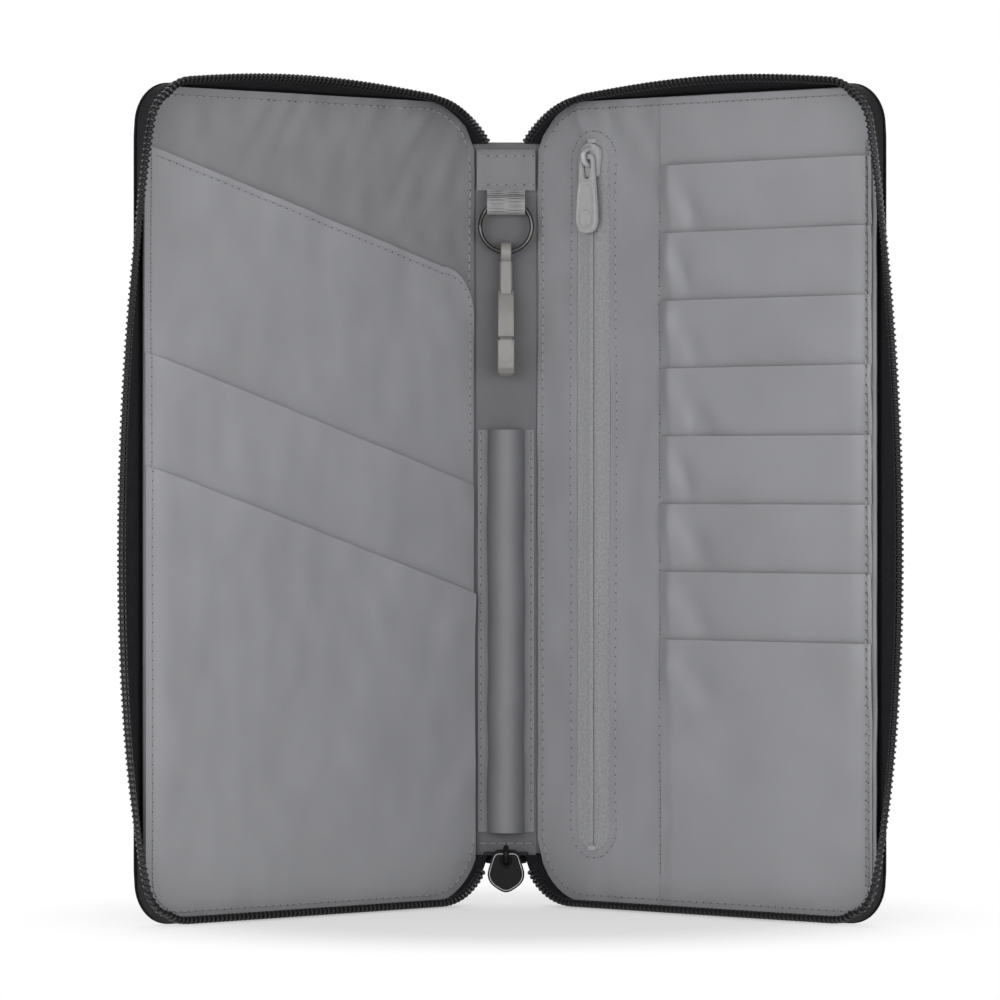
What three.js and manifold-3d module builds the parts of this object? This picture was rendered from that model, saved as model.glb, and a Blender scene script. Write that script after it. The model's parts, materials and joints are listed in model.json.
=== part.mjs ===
import * as THREE from 'three';
import Module from 'manifold-3d';
import { mergeVertices } from 'three/addons/utils/BufferGeometryUtils.js';

// Travel document wallet that stands on its bottom edge, open like a book.
// Millimetres, +Z up. The spine is at the back and both covers come forward, towards -Y.
// On each cover u runs out from the hinge, v runs up, and h is the height above the lining.

const wasm = await Module();
wasm.setup();

// Covers
const coverHeight = 268;
const coverWidth = 145.5;
const outerCornerRadius = 14;
const spineCornerReach = 22;
const spineTopDip = 14.2;
const spineBottomDip = 16.3;
const hingeGap = 0.4;
const leftFold = 43.5;
const rightFold = 42;

// Layers of a cover, from the lining back to the outer fabric
const clearance = 0.2;
const liningThickness = 0.4;
const coreDepth = 2.0;
const shellThickness = 0.8;
const liningInset = 2.2;
const foamInset = 2.8;

// Spine
const spineHalfWidth = 10;
const hingeOffset = 10.3;
const bandHeight = 16.1;
const bandThickness = 0.7;
const bandFront = 2.1;
const bandInset = 0.4;
const bandTopGap = 1.8;

// Zip that runs round three sides of each cover
const tapeThickness = 0.7;
const tapeWidth = 9.2;
const teethHeight = 2.3;
const teethThickness = 2.4;
const tapeEndReach = 0.6;
const teethStartReach = 8;
const sideLean = 76;
const topLean = 21;
const bottomLean = 7;
const spineLean = 15;
const leanFade = 9;
const topLeanShare = 0.78;
const stripStations = 92;

// Pockets of the left cover
const pocketThickness = 0.4;
const pocketInset = 2.6;
const pocketInnerEdge = 2;
const rearPocketMargins = [20.1, 56];
const rearPocketTop = rearPocketMargins.map((margin) => coverHeight - margin);
const rearPocketShoulder = 16;
const rearPocketCurve = 17;
const rearPocketSide = rearPocketTop[1] - rearPocketCurve;
const middlePocketTop = [182, 139.4];
const frontPocketTop = [146, 103.4];

// Card slots of the right cover, pleated from one strip
const cardLength = 85.6;
const cardPlay = 2.2;
const slotSeam = 0.3;
const slotCount = 8;
const slotPitch = 22.1;
const slotTopMargin = 24;
const slotTop = coverHeight - slotTopMargin;
const slotDepth = 50;
const slotOuterEdge = 142.8;
const pleatThickness = 0.3;
const pleatSpacing = 0.45;
const stripHem = 8;

// Coin pocket of the right cover
const coinZipCentre = 25;
const coinZipWidth = 14.5;
const coinZipBottom = 19;
const coinZipTopMargin = 14;
const coinZipTop = coverHeight - coinZipTopMargin;
const coinTapeThickness = 0.4;
const coinTapeSeam = 0.5;
const coinCoilWidth = 2.6;
const coinCoilThickness = 0.3;
const coinBagThickness = 0.25;
const coinBagEdges = [6, 52];
const coinBagInset = 12;
const coinStopSize = [3.2, 1.4, 0.8];
const coinSliderWidth = 8;
const coinSliderLength = 11;
const coinSliderHeight = 1.7;
const coinPullerLength = 24;
const coinPullerTopWidth = 7;
const coinPullerEndWidth = 9;

// Pullers hang by a bar in a ring on their slider
const ringHole = 1.3;
const ringWall = 1.1;
const ringWidth = 2.2;
const pullerThickness = 1.4;
const pullerSlotWidth = 3.8;
const pullerSlotLength = 4.2;

// Main zip's slider, parked at the foot of the spine
const sliderWidth = 8.6;
const sliderBottom = 8.5;
const sliderTop = 18.5;
const sliderBack = 7;
const sliderPlate = 1.3;
const sliderThroat = 2.9;
const sliderPost = 2.4;
const tailWidth = 14;
const tailThickness = 0.8;
const tailBottom = 16.6;
const pullerPivotHeight = 17.4;
const pullerTip = 4.8;
const pullerTopWidth = 8.3;
const pullerWidth = 12;
const pullerWidest = 10.4;

// Key loop, key ring and key clip
const loopWidth = 12.6;
const loopHole = 2.7;
const loopWall = 0.6;
const loopBelowTop = 21.1;
const loopCentreHeight = coverHeight - spineTopDip - loopBelowTop;
const loopCentreFront = 4.6;
const loopTailThickness = 1;
const loopTailInset = 3.8;
const loopTailTop = coverHeight - spineTopDip - loopTailInset;
const keyRingRadius = 8.6;
const keyRingWire = 0.8;
const keyRingDrop = 7.05;
const clipWidth = 4.6;
const clipEyeHole = 1.6;
const clipEyeWall = 2.1;
const clipBar = 2.8;
const clipHookRadius = 4.9;
const clipHookDrop = 35.3;
const clipTipRise = 6.4;
const clipGate = 1.6;
const clipGateDrop = 28.4;

// Pen loop
const penLoopBottom = 24;
const penLoopTop = 158;
const penLoopThickness = 0.5;
const penLoopHalfWidth = 6.2;
const penLoopDepth = 8.6;
const penLoopFlange = 9.5;

// Finishes
const outerFabric = finish(0x1d1d20, 0.85);
const foamFinish = finish(0x3a3a3c, 0.95);
const liningFabric = finish(0x88898d, 0.6);
const zipTape = finish(0x18181a, 0.9);
const zipTeeth = finish(0x222225, 0.4);
const greyTape = finish(0x97989b, 0.7);
const greyPlastic = finish(0x9b9995, 0.45);
const webbing = finish(0xa6a6a6, 0.8);
const greyPaint = finish(0x98989a, 0.4, 0.3);
const blackPaint = finish(0x1a1a1c, 0.35, 0.4);
const darkSteel = finish(0x6b6a68, 0.3, 1);

function finish(color, roughness, metalness = 0) {
  return new THREE.MeshStandardMaterial({ color, roughness, metalness });
}

// Depth of each layer below the lining's face
const foamFront = -liningThickness - clearance;
const foamBack = foamFront - coreDepth + clearance;
const shellFront = foamBack - clearance;
const shellBack = shellFront - shellThickness;

// Solids

function sharedCorners(geometry) {
  geometry.deleteAttribute('normal');
  geometry.deleteAttribute('uv');
  return mergeVertices(geometry, 1e-4);
}

function signedVolume(geometry) {
  const position = geometry.getAttribute('position');
  const corner = [new THREE.Vector3(), new THREE.Vector3(), new THREE.Vector3()];
  let sum = 0;
  for (let i = 0; i < geometry.index.count; i += 3) {
    corner.forEach((c, k) => c.fromBufferAttribute(position, geometry.index.getX(i + k)));
    sum += corner[0].dot(corner[1].cross(corner[2]));
  }
  return sum / 6;
}

function facesOut(geometry) {
  if (signedVolume(geometry) < 0) {
    const turned = Array.from(geometry.index.array);
    for (let i = 0; i < turned.length; i += 3) {
      turned.splice(i, 3, turned[i], turned[i + 2], turned[i + 1]);
    }
    geometry.setIndex(turned);
  }
  geometry.computeVertexNormals();
  return geometry;
}

// A flat piece drawn in u and v, lying on the cover from one height to another
function flatPiece(shape, back, thickness, side = 1) {
  const depth = { depth: thickness, bevelEnabled: false, curveSegments: 7 };
  const geometry = sharedCorners(new THREE.ExtrudeGeometry(shape, depth));
  const placed = new THREE.Matrix4().set(
    side, 0, 0, 0,
    0, 0, -1, -back,
    0, 1, 0, 0,
    0, 0, 0, 1);
  return facesOut(geometry.applyMatrix4(placed));
}

// A piece drawn from the side, in h and v, and as wide as given across u
function sidePiece(shape, width) {
  const depth = { depth: width, bevelEnabled: false, curveSegments: 10 };
  const geometry = sharedCorners(new THREE.ExtrudeGeometry(shape, depth));
  const placed = new THREE.Matrix4().set(
    0, 0, -1, width / 2,
    -1, 0, 0, 0,
    0, 1, 0, 0,
    0, 0, 0, 1);
  return facesOut(geometry.applyMatrix4(placed));
}

// A piece drawn from above, in u and h, and as tall as given
function uprightPiece(shape, bottom, top) {
  const depth = { depth: top - bottom, bevelEnabled: false, curveSegments: 10 };
  const geometry = sharedCorners(new THREE.ExtrudeGeometry(shape, depth));
  const placed = new THREE.Matrix4().set(
    1, 0, 0, 0,
    0, -1, 0, 0,
    0, 0, 1, bottom,
    0, 0, 0, 1);
  return facesOut(geometry.applyMatrix4(placed));
}

function toManifold(geometry) {
  const vertProperties = new Float32Array(geometry.getAttribute('position').array);
  const triVerts = new Uint32Array(geometry.index.array);
  return new wasm.Manifold(new wasm.Mesh({ numProp: 3, vertProperties, triVerts }));
}

function joined(geometries) {
  const whole = geometries.map(toManifold).reduce((a, b) => a.add(b));
  const mesh = whole.getMesh();
  const geometry = new THREE.BufferGeometry();
  geometry.setAttribute('position', new THREE.BufferAttribute(mesh.vertProperties, 3));
  geometry.setIndex(Array.from(mesh.triVerts));
  return facesOut(geometry);
}

function rectangle(left, bottom, right, top) {
  const shape = new THREE.Shape();
  shape.moveTo(left, bottom);
  shape.lineTo(right, bottom);
  shape.lineTo(right, top);
  shape.lineTo(left, top);
  shape.closePath();
  return shape;
}

// The outline of a folded or bent sheet seen from its edge
function sheetOutline(points, thickness) {
  const near = [];
  const far = [];
  points.forEach((point, i) => {
    const before = points[Math.max(i - 1, 0)];
    const after = points[Math.min(i + 1, points.length - 1)];
    const first = i > 0 ? point.clone().sub(before).normalize() : after.clone().sub(point).normalize();
    const last = i < points.length - 1 ? after.clone().sub(point).normalize() : first.clone();
    const normal = new THREE.Vector2(-first.y - last.y, first.x + last.x).normalize();
    const reach = thickness / 2 / Math.max(normal.dot(new THREE.Vector2(-last.y, last.x)), 0.3);
    near.push(point.clone().addScaledVector(normal, -reach));
    far.unshift(point.clone().addScaledVector(normal, reach));
  });
  return new THREE.Shape(near.concat(far));
}

function arcPoints(centre, radiusAcross, radiusUp, start, end, steps) {
  return Array.from({ length: steps + 1 }, (_, i) => {
    const angle = THREE.MathUtils.degToRad(start + (end - start) * i / steps);
    const across = centre[0] + radiusAcross * Math.cos(angle);
    return new THREE.Vector2(across, centre[1] + radiusUp * Math.sin(angle));
  });
}

// Cover outline: round outer corners, and long corners that dip to the spine

function dipRadius(dip) {
  return (spineCornerReach ** 2 + dip ** 2) / (2 * dip);
}

function traceEdge(path, inset, bottomReach, topReach) {
  const bottomRadius = dipRadius(spineBottomDip);
  const topRadius = dipRadius(spineTopDip);
  const corner = outerCornerRadius - inset;
  const cornerCentre = coverWidth - outerCornerRadius;
  const bottomCos = Math.max(-1, (bottomReach - spineCornerReach) / (bottomRadius - inset));
  const topCos = Math.max(-1, (topReach - spineCornerReach) / (topRadius - inset));
  path.absarc(spineCornerReach, bottomRadius, bottomRadius - inset, -Math.acos(bottomCos), -Math.PI / 2);
  path.absarc(cornerCentre, outerCornerRadius, corner, -Math.PI / 2, 0);
  path.absarc(cornerCentre, coverHeight - outerCornerRadius, corner, 0, Math.PI / 2);
  path.absarc(spineCornerReach, coverHeight - topRadius, topRadius - inset, Math.PI / 2, Math.acos(topCos));
  return path;
}

function coverShape(inset) {
  const shape = traceEdge(new THREE.Shape(), inset, hingeGap, hingeGap);
  shape.closePath();
  return shape;
}

// Zip tape and teeth, which stand up round the edge and lean out along the open side

function leanAt(edge, share) {
  const ends = edge.getCurveLengths();
  const total = ends[ends.length - 1];
  const distance = share * total;
  const sideStart = (ends[1] + ends[2]) / 2;
  const sideEnd = (ends[3] + ends[4]) / 2;
  if (distance < sideStart) {
    return -bottomLean * Math.min(1, (sideStart - distance) / leanFade);
  }
  if (distance < sideEnd) {
    const down = (sideEnd - distance) / (sideEnd - sideStart);
    return sideLean * Math.max(0, Math.sin(Math.PI * down ** 1.2)) ** 0.6;
  }
  const across = (distance - sideEnd) / (total - sideEnd);
  if (across < topLeanShare) {
    return topLean * Math.sin(Math.PI * across / topLeanShare);
  }
  return -spineLean * Math.sin(0.85 * Math.PI * (across - topLeanShare) / (1 - topLeanShare));
}

function standingStrip(side, bottomReach, near, far, thickness) {
  const inset = clearance + tapeThickness / 2;
  const foot = shellFront + clearance + tapeThickness / 2;
  const edge = traceEdge(new THREE.Path(), inset, bottomReach, tapeEndReach);
  const section = [[near, -1], [far, -1], [far, 1], [near, 1]];
  const corners = section.length;
  const positions = [];
  const index = [];
  for (let i = 0; i <= stripStations; i++) {
    const share = i / stripStations;
    const point = edge.getPoint(share);
    const along = edge.getTangent(share);
    const lean = THREE.MathUtils.degToRad(leanAt(edge, share));
    for (const [width, face] of section) {
      const half = face * thickness / 2;
      const out = width * Math.sin(lean) + half * Math.cos(lean);
      const height = foot + width * Math.cos(lean) - half * Math.sin(lean);
      positions.push(side * (point.x + out * along.y), -height, point.y - out * along.x);
    }
    if (i === stripStations) break;
    for (let j = 0; j < corners; j++) {
      const a = i * corners + j;
      const b = i * corners + (j + 1) % corners;
      index.push(a, b, b + corners, a, b + corners, a + corners);
    }
  }
  const last = stripStations * corners;
  index.push(0, 2, 1, 0, 3, 2, last, last + 1, last + 2, last, last + 2, last + 3);
  const geometry = new THREE.BufferGeometry();
  geometry.setAttribute('position', new THREE.Float32BufferAttribute(positions, 3));
  geometry.setIndex(index);
  return facesOut(geometry);
}

// Building blocks of the scene graph

function add(group, name, geometry, material) {
  const mesh = new THREE.Mesh(geometry, material);
  mesh.name = name;
  group.add(mesh);
  return mesh;
}

function pivot(parent, name, u, v, h) {
  const group = new THREE.Group();
  group.name = name;
  group.position.set(u, -h, v);
  parent.add(group);
  return group;
}

// A cover's layers and its half of the main zip
function addCover(group, word, side, liningShape, foamBehind) {
  const foamTop = foamFront - foamBehind;
  add(group, `${word}_cover_shell`, flatPiece(coverShape(0), shellBack, shellThickness, side), outerFabric);
  add(group, `${word}_cover_foam`, flatPiece(coverShape(foamInset), foamBack, foamTop - foamBack, side),
    foamFinish);
  add(group, `${word}_lining`, flatPiece(liningShape, -liningThickness, liningThickness, side), liningFabric);
  const tape = standingStrip(side, tapeEndReach, 0, tapeWidth, tapeThickness);
  add(group, `${word}_zip_tape`, tape, zipTape);
  const teethFoot = tapeWidth + clearance;
  const teeth = standingStrip(side, teethStartReach, teethFoot, teethFoot + teethHeight, teethThickness);
  add(group, `${word}_zip_teeth`, teeth, zipTeeth);
}

// A pocket sheet: it follows the cover's edge and has a sloping mouth
function pocketShape(mouth) {
  const radius = dipRadius(spineBottomDip);
  const startCos = (pocketInnerEdge - spineCornerReach) / (radius - pocketInset);
  const cornerCentre = coverWidth - outerCornerRadius;
  const shape = new THREE.Shape();
  shape.absarc(spineCornerReach, radius, radius - pocketInset, -Math.acos(startCos), -Math.PI / 2);
  shape.absarc(cornerCentre, outerCornerRadius, outerCornerRadius - pocketInset, -Math.PI / 2, 0);
  shape.lineTo(coverWidth - pocketInset, mouth[0]);
  return shape;
}

function addLeftPockets(group) {
  const rear = pocketShape(rearPocketTop);
  rear.lineTo(rearPocketShoulder, rearPocketTop[1]);
  rear.quadraticCurveTo(pocketInnerEdge, rearPocketTop[1] - 4, pocketInnerEdge, rearPocketSide);
  rear.closePath();
  const middle = pocketShape(middlePocketTop);
  middle.lineTo(pocketInnerEdge, middlePocketTop[1]);
  middle.closePath();
  const front = pocketShape(frontPocketTop);
  front.lineTo(pocketInnerEdge, frontPocketTop[1]);
  front.closePath();
  const names = ['document_pocket', 'passport_pocket', 'boarding_pass_pocket'];
  [rear, middle, front].forEach((shape, i) => {
    const back = clearance + i * (pocketThickness + clearance);
    add(group, names[i], flatPiece(shape, back, pocketThickness, -1), liningFabric);
  });
}

// One strip folded into eight overlapping slots, drawn from the side
function cardSlots() {
  const slope = 2 * pleatSpacing / slotPitch;
  const back = clearance + pleatThickness / 2;
  const fold = back + pleatSpacing;
  const lip = fold + slope * slotDepth;
  const points = [new THREE.Vector2(back, slotTop + stripHem)];
  for (let i = 0; i < slotCount; i++) {
    const mouth = slotTop - i * slotPitch;
    points.push(new THREE.Vector2(back, mouth - slotDepth));
    points.push(new THREE.Vector2(fold, mouth - slotDepth));
    points.push(new THREE.Vector2(lip, mouth));
    points.push(new THREE.Vector2(lip + pleatSpacing, mouth));
  }
  points.push(new THREE.Vector2(back, slotTop - slotCount * slotPitch - slotDepth));
  const width = cardLength + cardPlay + slotSeam;
  return sidePiece(sheetOutline(points, pleatThickness), width)
    .translate(slotOuterEdge - width / 2, 0, 0);
}

function roundEndedWindow(path, inset) {
  const radius = coinZipWidth / 2 - inset;
  const centreOffset = coinZipWidth / 2;
  path.absarc(coinZipCentre, coinZipTop - centreOffset, radius, 0, Math.PI);
  path.absarc(coinZipCentre, coinZipBottom + centreOffset, radius, Math.PI, 2 * Math.PI);
  path.closePath();
  return path;
}

function halfTape(half) {
  const radius = coinZipWidth / 2 - clearance;
  const seam = coinTapeSeam / 2;
  const turn = Math.acos(seam / radius);
  const shape = new THREE.Shape();
  const centreOffset = coinZipWidth / 2;
  if (half > 0) {
    shape.absarc(coinZipCentre, coinZipBottom + centreOffset, radius, -turn, 0);
    shape.absarc(coinZipCentre, coinZipTop - centreOffset, radius, 0, turn);
  } else {
    shape.absarc(coinZipCentre, coinZipTop - centreOffset, radius, Math.PI - turn, Math.PI);
    shape.absarc(coinZipCentre, coinZipBottom + centreOffset, radius, Math.PI, Math.PI + turn);
  }
  shape.closePath();
  return shape;
}

// The ring that stands on a slider and holds its puller's bar, centred on the pivot
function pullerRing() {
  const shape = new THREE.Shape();
  shape.absarc(0, 0, ringHole + ringWall, 0, 2 * Math.PI);
  shape.holes.push(new THREE.Path().absarc(0, 0, ringHole, 0, 2 * Math.PI));
  return sidePiece(shape, ringWidth);
}

function pullerSlot(halfBar) {
  const half = pullerSlotWidth / 2;
  const slot = new THREE.Path();
  slot.moveTo(-half, -halfBar);
  slot.lineTo(half, -halfBar);
  slot.lineTo(half, -halfBar - pullerSlotLength);
  slot.lineTo(-half, -halfBar - pullerSlotLength);
  slot.closePath();
  return slot;
}

function coinPullerPiece() {
  const halfBar = pullerThickness / 2;
  const end = halfBar - coinPullerLength;
  const corner = 2.4;
  const shape = new THREE.Shape();
  shape.moveTo(-coinPullerTopWidth / 2, halfBar);
  shape.lineTo(-coinPullerEndWidth / 2, end + corner);
  shape.quadraticCurveTo(-coinPullerEndWidth / 2, end, corner - coinPullerEndWidth / 2, end);
  shape.lineTo(coinPullerEndWidth / 2 - corner, end);
  shape.quadraticCurveTo(coinPullerEndWidth / 2, end, coinPullerEndWidth / 2, end + corner);
  shape.lineTo(coinPullerTopWidth / 2, halfBar);
  shape.closePath();
  shape.holes.push(pullerSlot(halfBar));
  return flatPiece(shape, -pullerThickness / 2, pullerThickness);
}

function mainPullerPiece() {
  const halfBar = pullerThickness / 2;
  const tip = pullerTip - pullerPivotHeight;
  const widest = pullerWidest - pullerPivotHeight;
  const shape = new THREE.Shape();
  shape.moveTo(-pullerTopWidth / 2, halfBar);
  shape.quadraticCurveTo(-pullerWidth / 2, widest / 2, -pullerWidth / 2, widest);
  shape.quadraticCurveTo(-pullerWidth / 2.6, widest + (tip - widest) / 2, 0, tip);
  shape.quadraticCurveTo(pullerWidth / 2.6, widest + (tip - widest) / 2, pullerWidth / 2, widest);
  shape.quadraticCurveTo(pullerWidth / 2, widest / 2, pullerTopWidth / 2, halfBar);
  shape.closePath();
  shape.holes.push(pullerSlot(halfBar));
  return flatPiece(shape, -pullerThickness / 2, pullerThickness);
}

function addCoinPocket(group) {
  const zipBack = -liningThickness;
  const coilFront = zipBack - clearance / 2;
  const bagFront = coilFront - coinCoilThickness - clearance / 2;
  const bag = rectangle(coinBagEdges[0], spineBottomDip, coinBagEdges[1], coverHeight - coinBagInset);
  add(group, 'coin_pocket_bag', flatPiece(bag, bagFront - coinBagThickness, coinBagThickness), liningFabric);
  add(group, 'coin_zip_tape_inner', flatPiece(halfTape(-1), zipBack, coinTapeThickness), greyTape);
  add(group, 'coin_zip_tape_outer', flatPiece(halfTape(1), zipBack, coinTapeThickness), greyTape);
  const coil = rectangle(coinZipCentre - coinCoilWidth / 2, coinZipBottom + clearance,
    coinZipCentre + coinCoilWidth / 2, coinZipTop - clearance);
  add(group, 'coin_zip_coil', flatPiece(coil, coilFront - coinCoilThickness, coinCoilThickness), greyPlastic);
  const [stopWidth, stopLength, stopHeight] = coinStopSize;
  const tapeFront = zipBack + coinTapeThickness;
  const stopAt = (bottom) => flatPiece(
    rectangle(coinZipCentre - stopWidth / 2, bottom, coinZipCentre + stopWidth / 2, bottom + stopLength),
    tapeFront + clearance, stopHeight);
  add(group, 'coin_zip_top_stop', stopAt(coinZipTop - stopLength), greyPaint);
  add(group, 'coin_zip_bottom_stop', stopAt(coinZipBottom), greyPaint);

  const sliderBase = tapeFront + clearance;
  const pivotHeight = sliderBase + coinSliderHeight + ringHole - clearance / 2;
  const sliderCentre = coinZipTop - coinStopSize[1] - clearance - coinSliderLength / 2;
  const pivotV = sliderCentre + 1;
  const slider = pivot(group, 'coin_slider_pivot', coinZipCentre, pivotV, pivotHeight);
  const body = new THREE.Shape();
  const half = coinSliderWidth / 2;
  const low = sliderCentre - pivotV - coinSliderLength / 2;
  const high = low + coinSliderLength;
  body.moveTo(-half * 0.75, low);
  body.lineTo(half * 0.75, low);
  body.quadraticCurveTo(half * 0.8, low + coinSliderLength / 2, half, high - 2);
  body.quadraticCurveTo(half, high, half - 2, high);
  body.lineTo(2 - half, high);
  body.quadraticCurveTo(-half, high, -half, high - 2);
  body.quadraticCurveTo(-half * 0.8, low + coinSliderLength / 2, -half * 0.75, low);
  const sliderBody = flatPiece(body, sliderBase - pivotHeight, coinSliderHeight);
  add(slider, 'coin_slider', joined([sliderBody, pullerRing()]), greyPaint);
  add(slider, 'coin_puller', coinPullerPiece(), greyPaint);
}

function addSpine(group) {
  const top = coverHeight - spineTopDip;
  const plate = rectangle(-spineHalfWidth, spineBottomDip, spineHalfWidth, top);
  add(group, 'spine_shell', flatPiece(plate, shellBack, shellThickness), outerFabric);
  const foam = rectangle(foamInset - spineHalfWidth, spineBottomDip + foamInset,
    spineHalfWidth - foamInset, top - foamInset);
  add(group, 'spine_foam', flatPiece(foam, foamBack, foamFront - foamBack), foamFinish);
  add(group, 'spine_lining', flatPiece(plate, -liningThickness, liningThickness), liningFabric);
  const bandHalf = spineHalfWidth - bandInset;
  const band = rectangle(-bandHalf, top - bandHeight, bandHalf, top - bandTopGap);
  add(group, 'spine_top_band', flatPiece(band, bandFront - bandThickness, bandThickness), liningFabric);
}

function addMainSlider(group) {
  const front = sliderBack + 2 * sliderPlate + sliderThroat;
  const body = new THREE.Shape();
  body.moveTo(sliderBack, sliderBottom);
  body.lineTo(sliderBack + sliderPlate, sliderBottom);
  body.lineTo(sliderBack + sliderPlate, sliderTop - sliderPost);
  body.lineTo(front - sliderPlate, sliderTop - sliderPost);
  body.lineTo(front - sliderPlate, sliderBottom);
  body.lineTo(front, sliderBottom);
  body.lineTo(front, sliderTop);
  body.lineTo(sliderBack, sliderTop);
  body.closePath();
  const pivotFront = front + ringHole;
  const ring = pullerRing().translate(0, -pivotFront, pullerPivotHeight);
  add(group, 'main_slider', joined([sidePiece(body, sliderWidth), ring]), blackPaint);
  const hanging = pivot(group, 'main_puller_pivot', 0, pullerPivotHeight, pivotFront);
  add(hanging, 'main_puller', mainPullerPiece(), blackPaint);
  const tail = rectangle(clearance, tailBottom, sliderBack - clearance, tailBottom + tailThickness);
  add(group, 'zip_tail', sidePiece(tail, tailWidth), zipTape);
}

function addPenLoop(group) {
  const foot = clearance + penLoopThickness / 2;
  const arch = arcPoints([0, foot], penLoopHalfWidth, penLoopDepth, 180, 0, 14);
  const section = [new THREE.Vector2(-penLoopFlange, foot), ...arch, new THREE.Vector2(penLoopFlange, foot)];
  add(group, 'pen_loop', uprightPiece(sheetOutline(section, penLoopThickness), penLoopBottom, penLoopTop),
    liningFabric);
}

// Key clip: an eye round the ring's wire, a hooked bar and a springy gate, moulded in one
function keyClipPiece() {
  const eye = new THREE.Shape();
  eye.absarc(0, 0, clipEyeHole + clipEyeWall, 0, 2 * Math.PI);
  eye.holes.push(new THREE.Path().absarc(0, 0, clipEyeHole, 0, 2 * Math.PI));
  const barBack = -clipEyeHole - clipEyeWall / 2 + 0.6;
  const hookCentre = barBack + clipHookRadius;
  const barTop = -clipEyeHole - clipEyeWall / 2;
  const hook = [new THREE.Vector2(barBack, barTop)];
  hook.push(...arcPoints([hookCentre, -clipHookDrop], clipHookRadius, clipHookRadius, 180, 360, 10));
  hook.push(new THREE.Vector2(hookCentre + clipHookRadius, clipTipRise - clipHookDrop));
  const gateStart = new THREE.Vector2(barBack, barTop - clipBar);
  const gateMiddle = new THREE.Vector2(hookCentre, barTop - 3 * clipBar);
  const gateEnd = new THREE.Vector2(hookCentre + clipHookRadius - clipBar, -clipGateDrop);
  return joined([
    sidePiece(eye, clipWidth),
    sidePiece(sheetOutline(hook, clipBar), clipWidth),
    sidePiece(sheetOutline([gateStart, gateMiddle, gateEnd], clipGate), clipWidth),
  ]);
}

function addKeys(group) {
  const loop = new THREE.Shape();
  const outer = loopHole + loopWall;
  loop.moveTo(clearance, loopTailTop);
  loop.lineTo(clearance, loopCentreHeight + outer);
  loop.absarc(loopCentreFront, loopCentreHeight, outer, Math.PI * 0.95, Math.PI * 2.6);
  loop.lineTo(clearance + loopTailThickness, loopCentreHeight + outer + clearance);
  loop.lineTo(clearance + loopTailThickness, loopTailTop);
  loop.closePath();
  loop.holes.push(new THREE.Path().absarc(loopCentreFront, loopCentreHeight, loopHole, 0, 2 * Math.PI));
  add(group, 'key_loop', sidePiece(loop, loopWidth), webbing);

  const ring = pivot(group, 'key_ring_pivot', 0, loopCentreHeight, loopCentreFront);
  const torus = sharedCorners(new THREE.TorusGeometry(keyRingRadius, keyRingWire, 8, 40));
  torus.rotateX(Math.PI / 2).translate(0, 0, -keyRingDrop);
  add(ring, 'key_ring', facesOut(torus), darkSteel);

  const clip = pivot(ring, 'key_clip_pivot', 0, -keyRingDrop - keyRingRadius, 0);
  add(clip, 'key_clip', keyClipPiece(), greyPlastic);
}

const spine = new THREE.Group();
addSpine(spine);
addKeys(spine);
addPenLoop(spine);
addMainSlider(spine);

const leftCover = pivot(spine, 'left_cover_hinge', -hingeOffset, 0, 0);
leftCover.rotation.z = THREE.MathUtils.degToRad(leftFold);
addCover(leftCover, 'left', -1, coverShape(liningInset), 0);
addLeftPockets(leftCover);

const rightCover = pivot(spine, 'right_cover_hinge', hingeOffset, 0, 0);
rightCover.rotation.z = -THREE.MathUtils.degToRad(rightFold);
const windowedLining = coverShape(liningInset);
windowedLining.holes.push(roundEndedWindow(new THREE.Path(), 0));
const bagAllowance = coinCoilThickness + coinBagThickness + clearance;
addCover(rightCover, 'right', 1, windowedLining, bagAllowance);
addCoinPocket(rightCover);
add(rightCover, 'card_slots', cardSlots(), liningFabric);

// The origin is under the middle of the wallet, on the surface that it stands on
const wallet = new THREE.Group();
wallet.add(spine);
const box = new THREE.Box3().setFromObject(wallet, true);
const middle = box.getCenter(new THREE.Vector3());
spine.position.set(-middle.x, -middle.y, -box.min.z);

export default wallet;
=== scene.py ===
# %% [markdown]
# # A travel document wallet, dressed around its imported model
# The wallet stands open like a book. Two stiffened covers meet at a narrow spine, and half of a
# heavy coil zip stands up round three sides of each cover. The lining is thin coated nylon with
# pockets sewn on it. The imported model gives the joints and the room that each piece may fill, so
# this lesson starts from it. Sizes are in millimetres, as a maker would write them, and are turned
# into Blender's metres only when points are placed.

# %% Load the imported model
import json
import math
import random

import bmesh
import bpy
import numpy as np
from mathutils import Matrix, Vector, noise


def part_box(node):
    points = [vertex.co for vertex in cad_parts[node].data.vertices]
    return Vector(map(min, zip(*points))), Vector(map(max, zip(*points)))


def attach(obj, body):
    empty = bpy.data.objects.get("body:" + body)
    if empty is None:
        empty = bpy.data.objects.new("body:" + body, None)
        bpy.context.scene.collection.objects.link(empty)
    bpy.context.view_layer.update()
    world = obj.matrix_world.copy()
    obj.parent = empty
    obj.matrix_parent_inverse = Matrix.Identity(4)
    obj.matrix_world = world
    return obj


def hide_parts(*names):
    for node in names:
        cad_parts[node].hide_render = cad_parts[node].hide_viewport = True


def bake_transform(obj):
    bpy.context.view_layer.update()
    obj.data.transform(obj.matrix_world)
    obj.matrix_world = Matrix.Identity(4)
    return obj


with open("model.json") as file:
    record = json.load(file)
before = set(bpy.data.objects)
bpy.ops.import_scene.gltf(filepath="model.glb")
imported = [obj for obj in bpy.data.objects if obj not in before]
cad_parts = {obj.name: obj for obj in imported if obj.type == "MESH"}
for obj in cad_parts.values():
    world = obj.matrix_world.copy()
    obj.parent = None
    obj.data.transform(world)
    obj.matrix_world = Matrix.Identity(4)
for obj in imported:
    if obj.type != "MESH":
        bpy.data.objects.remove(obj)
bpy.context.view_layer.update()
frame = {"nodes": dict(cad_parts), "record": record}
random.seed(7)

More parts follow.
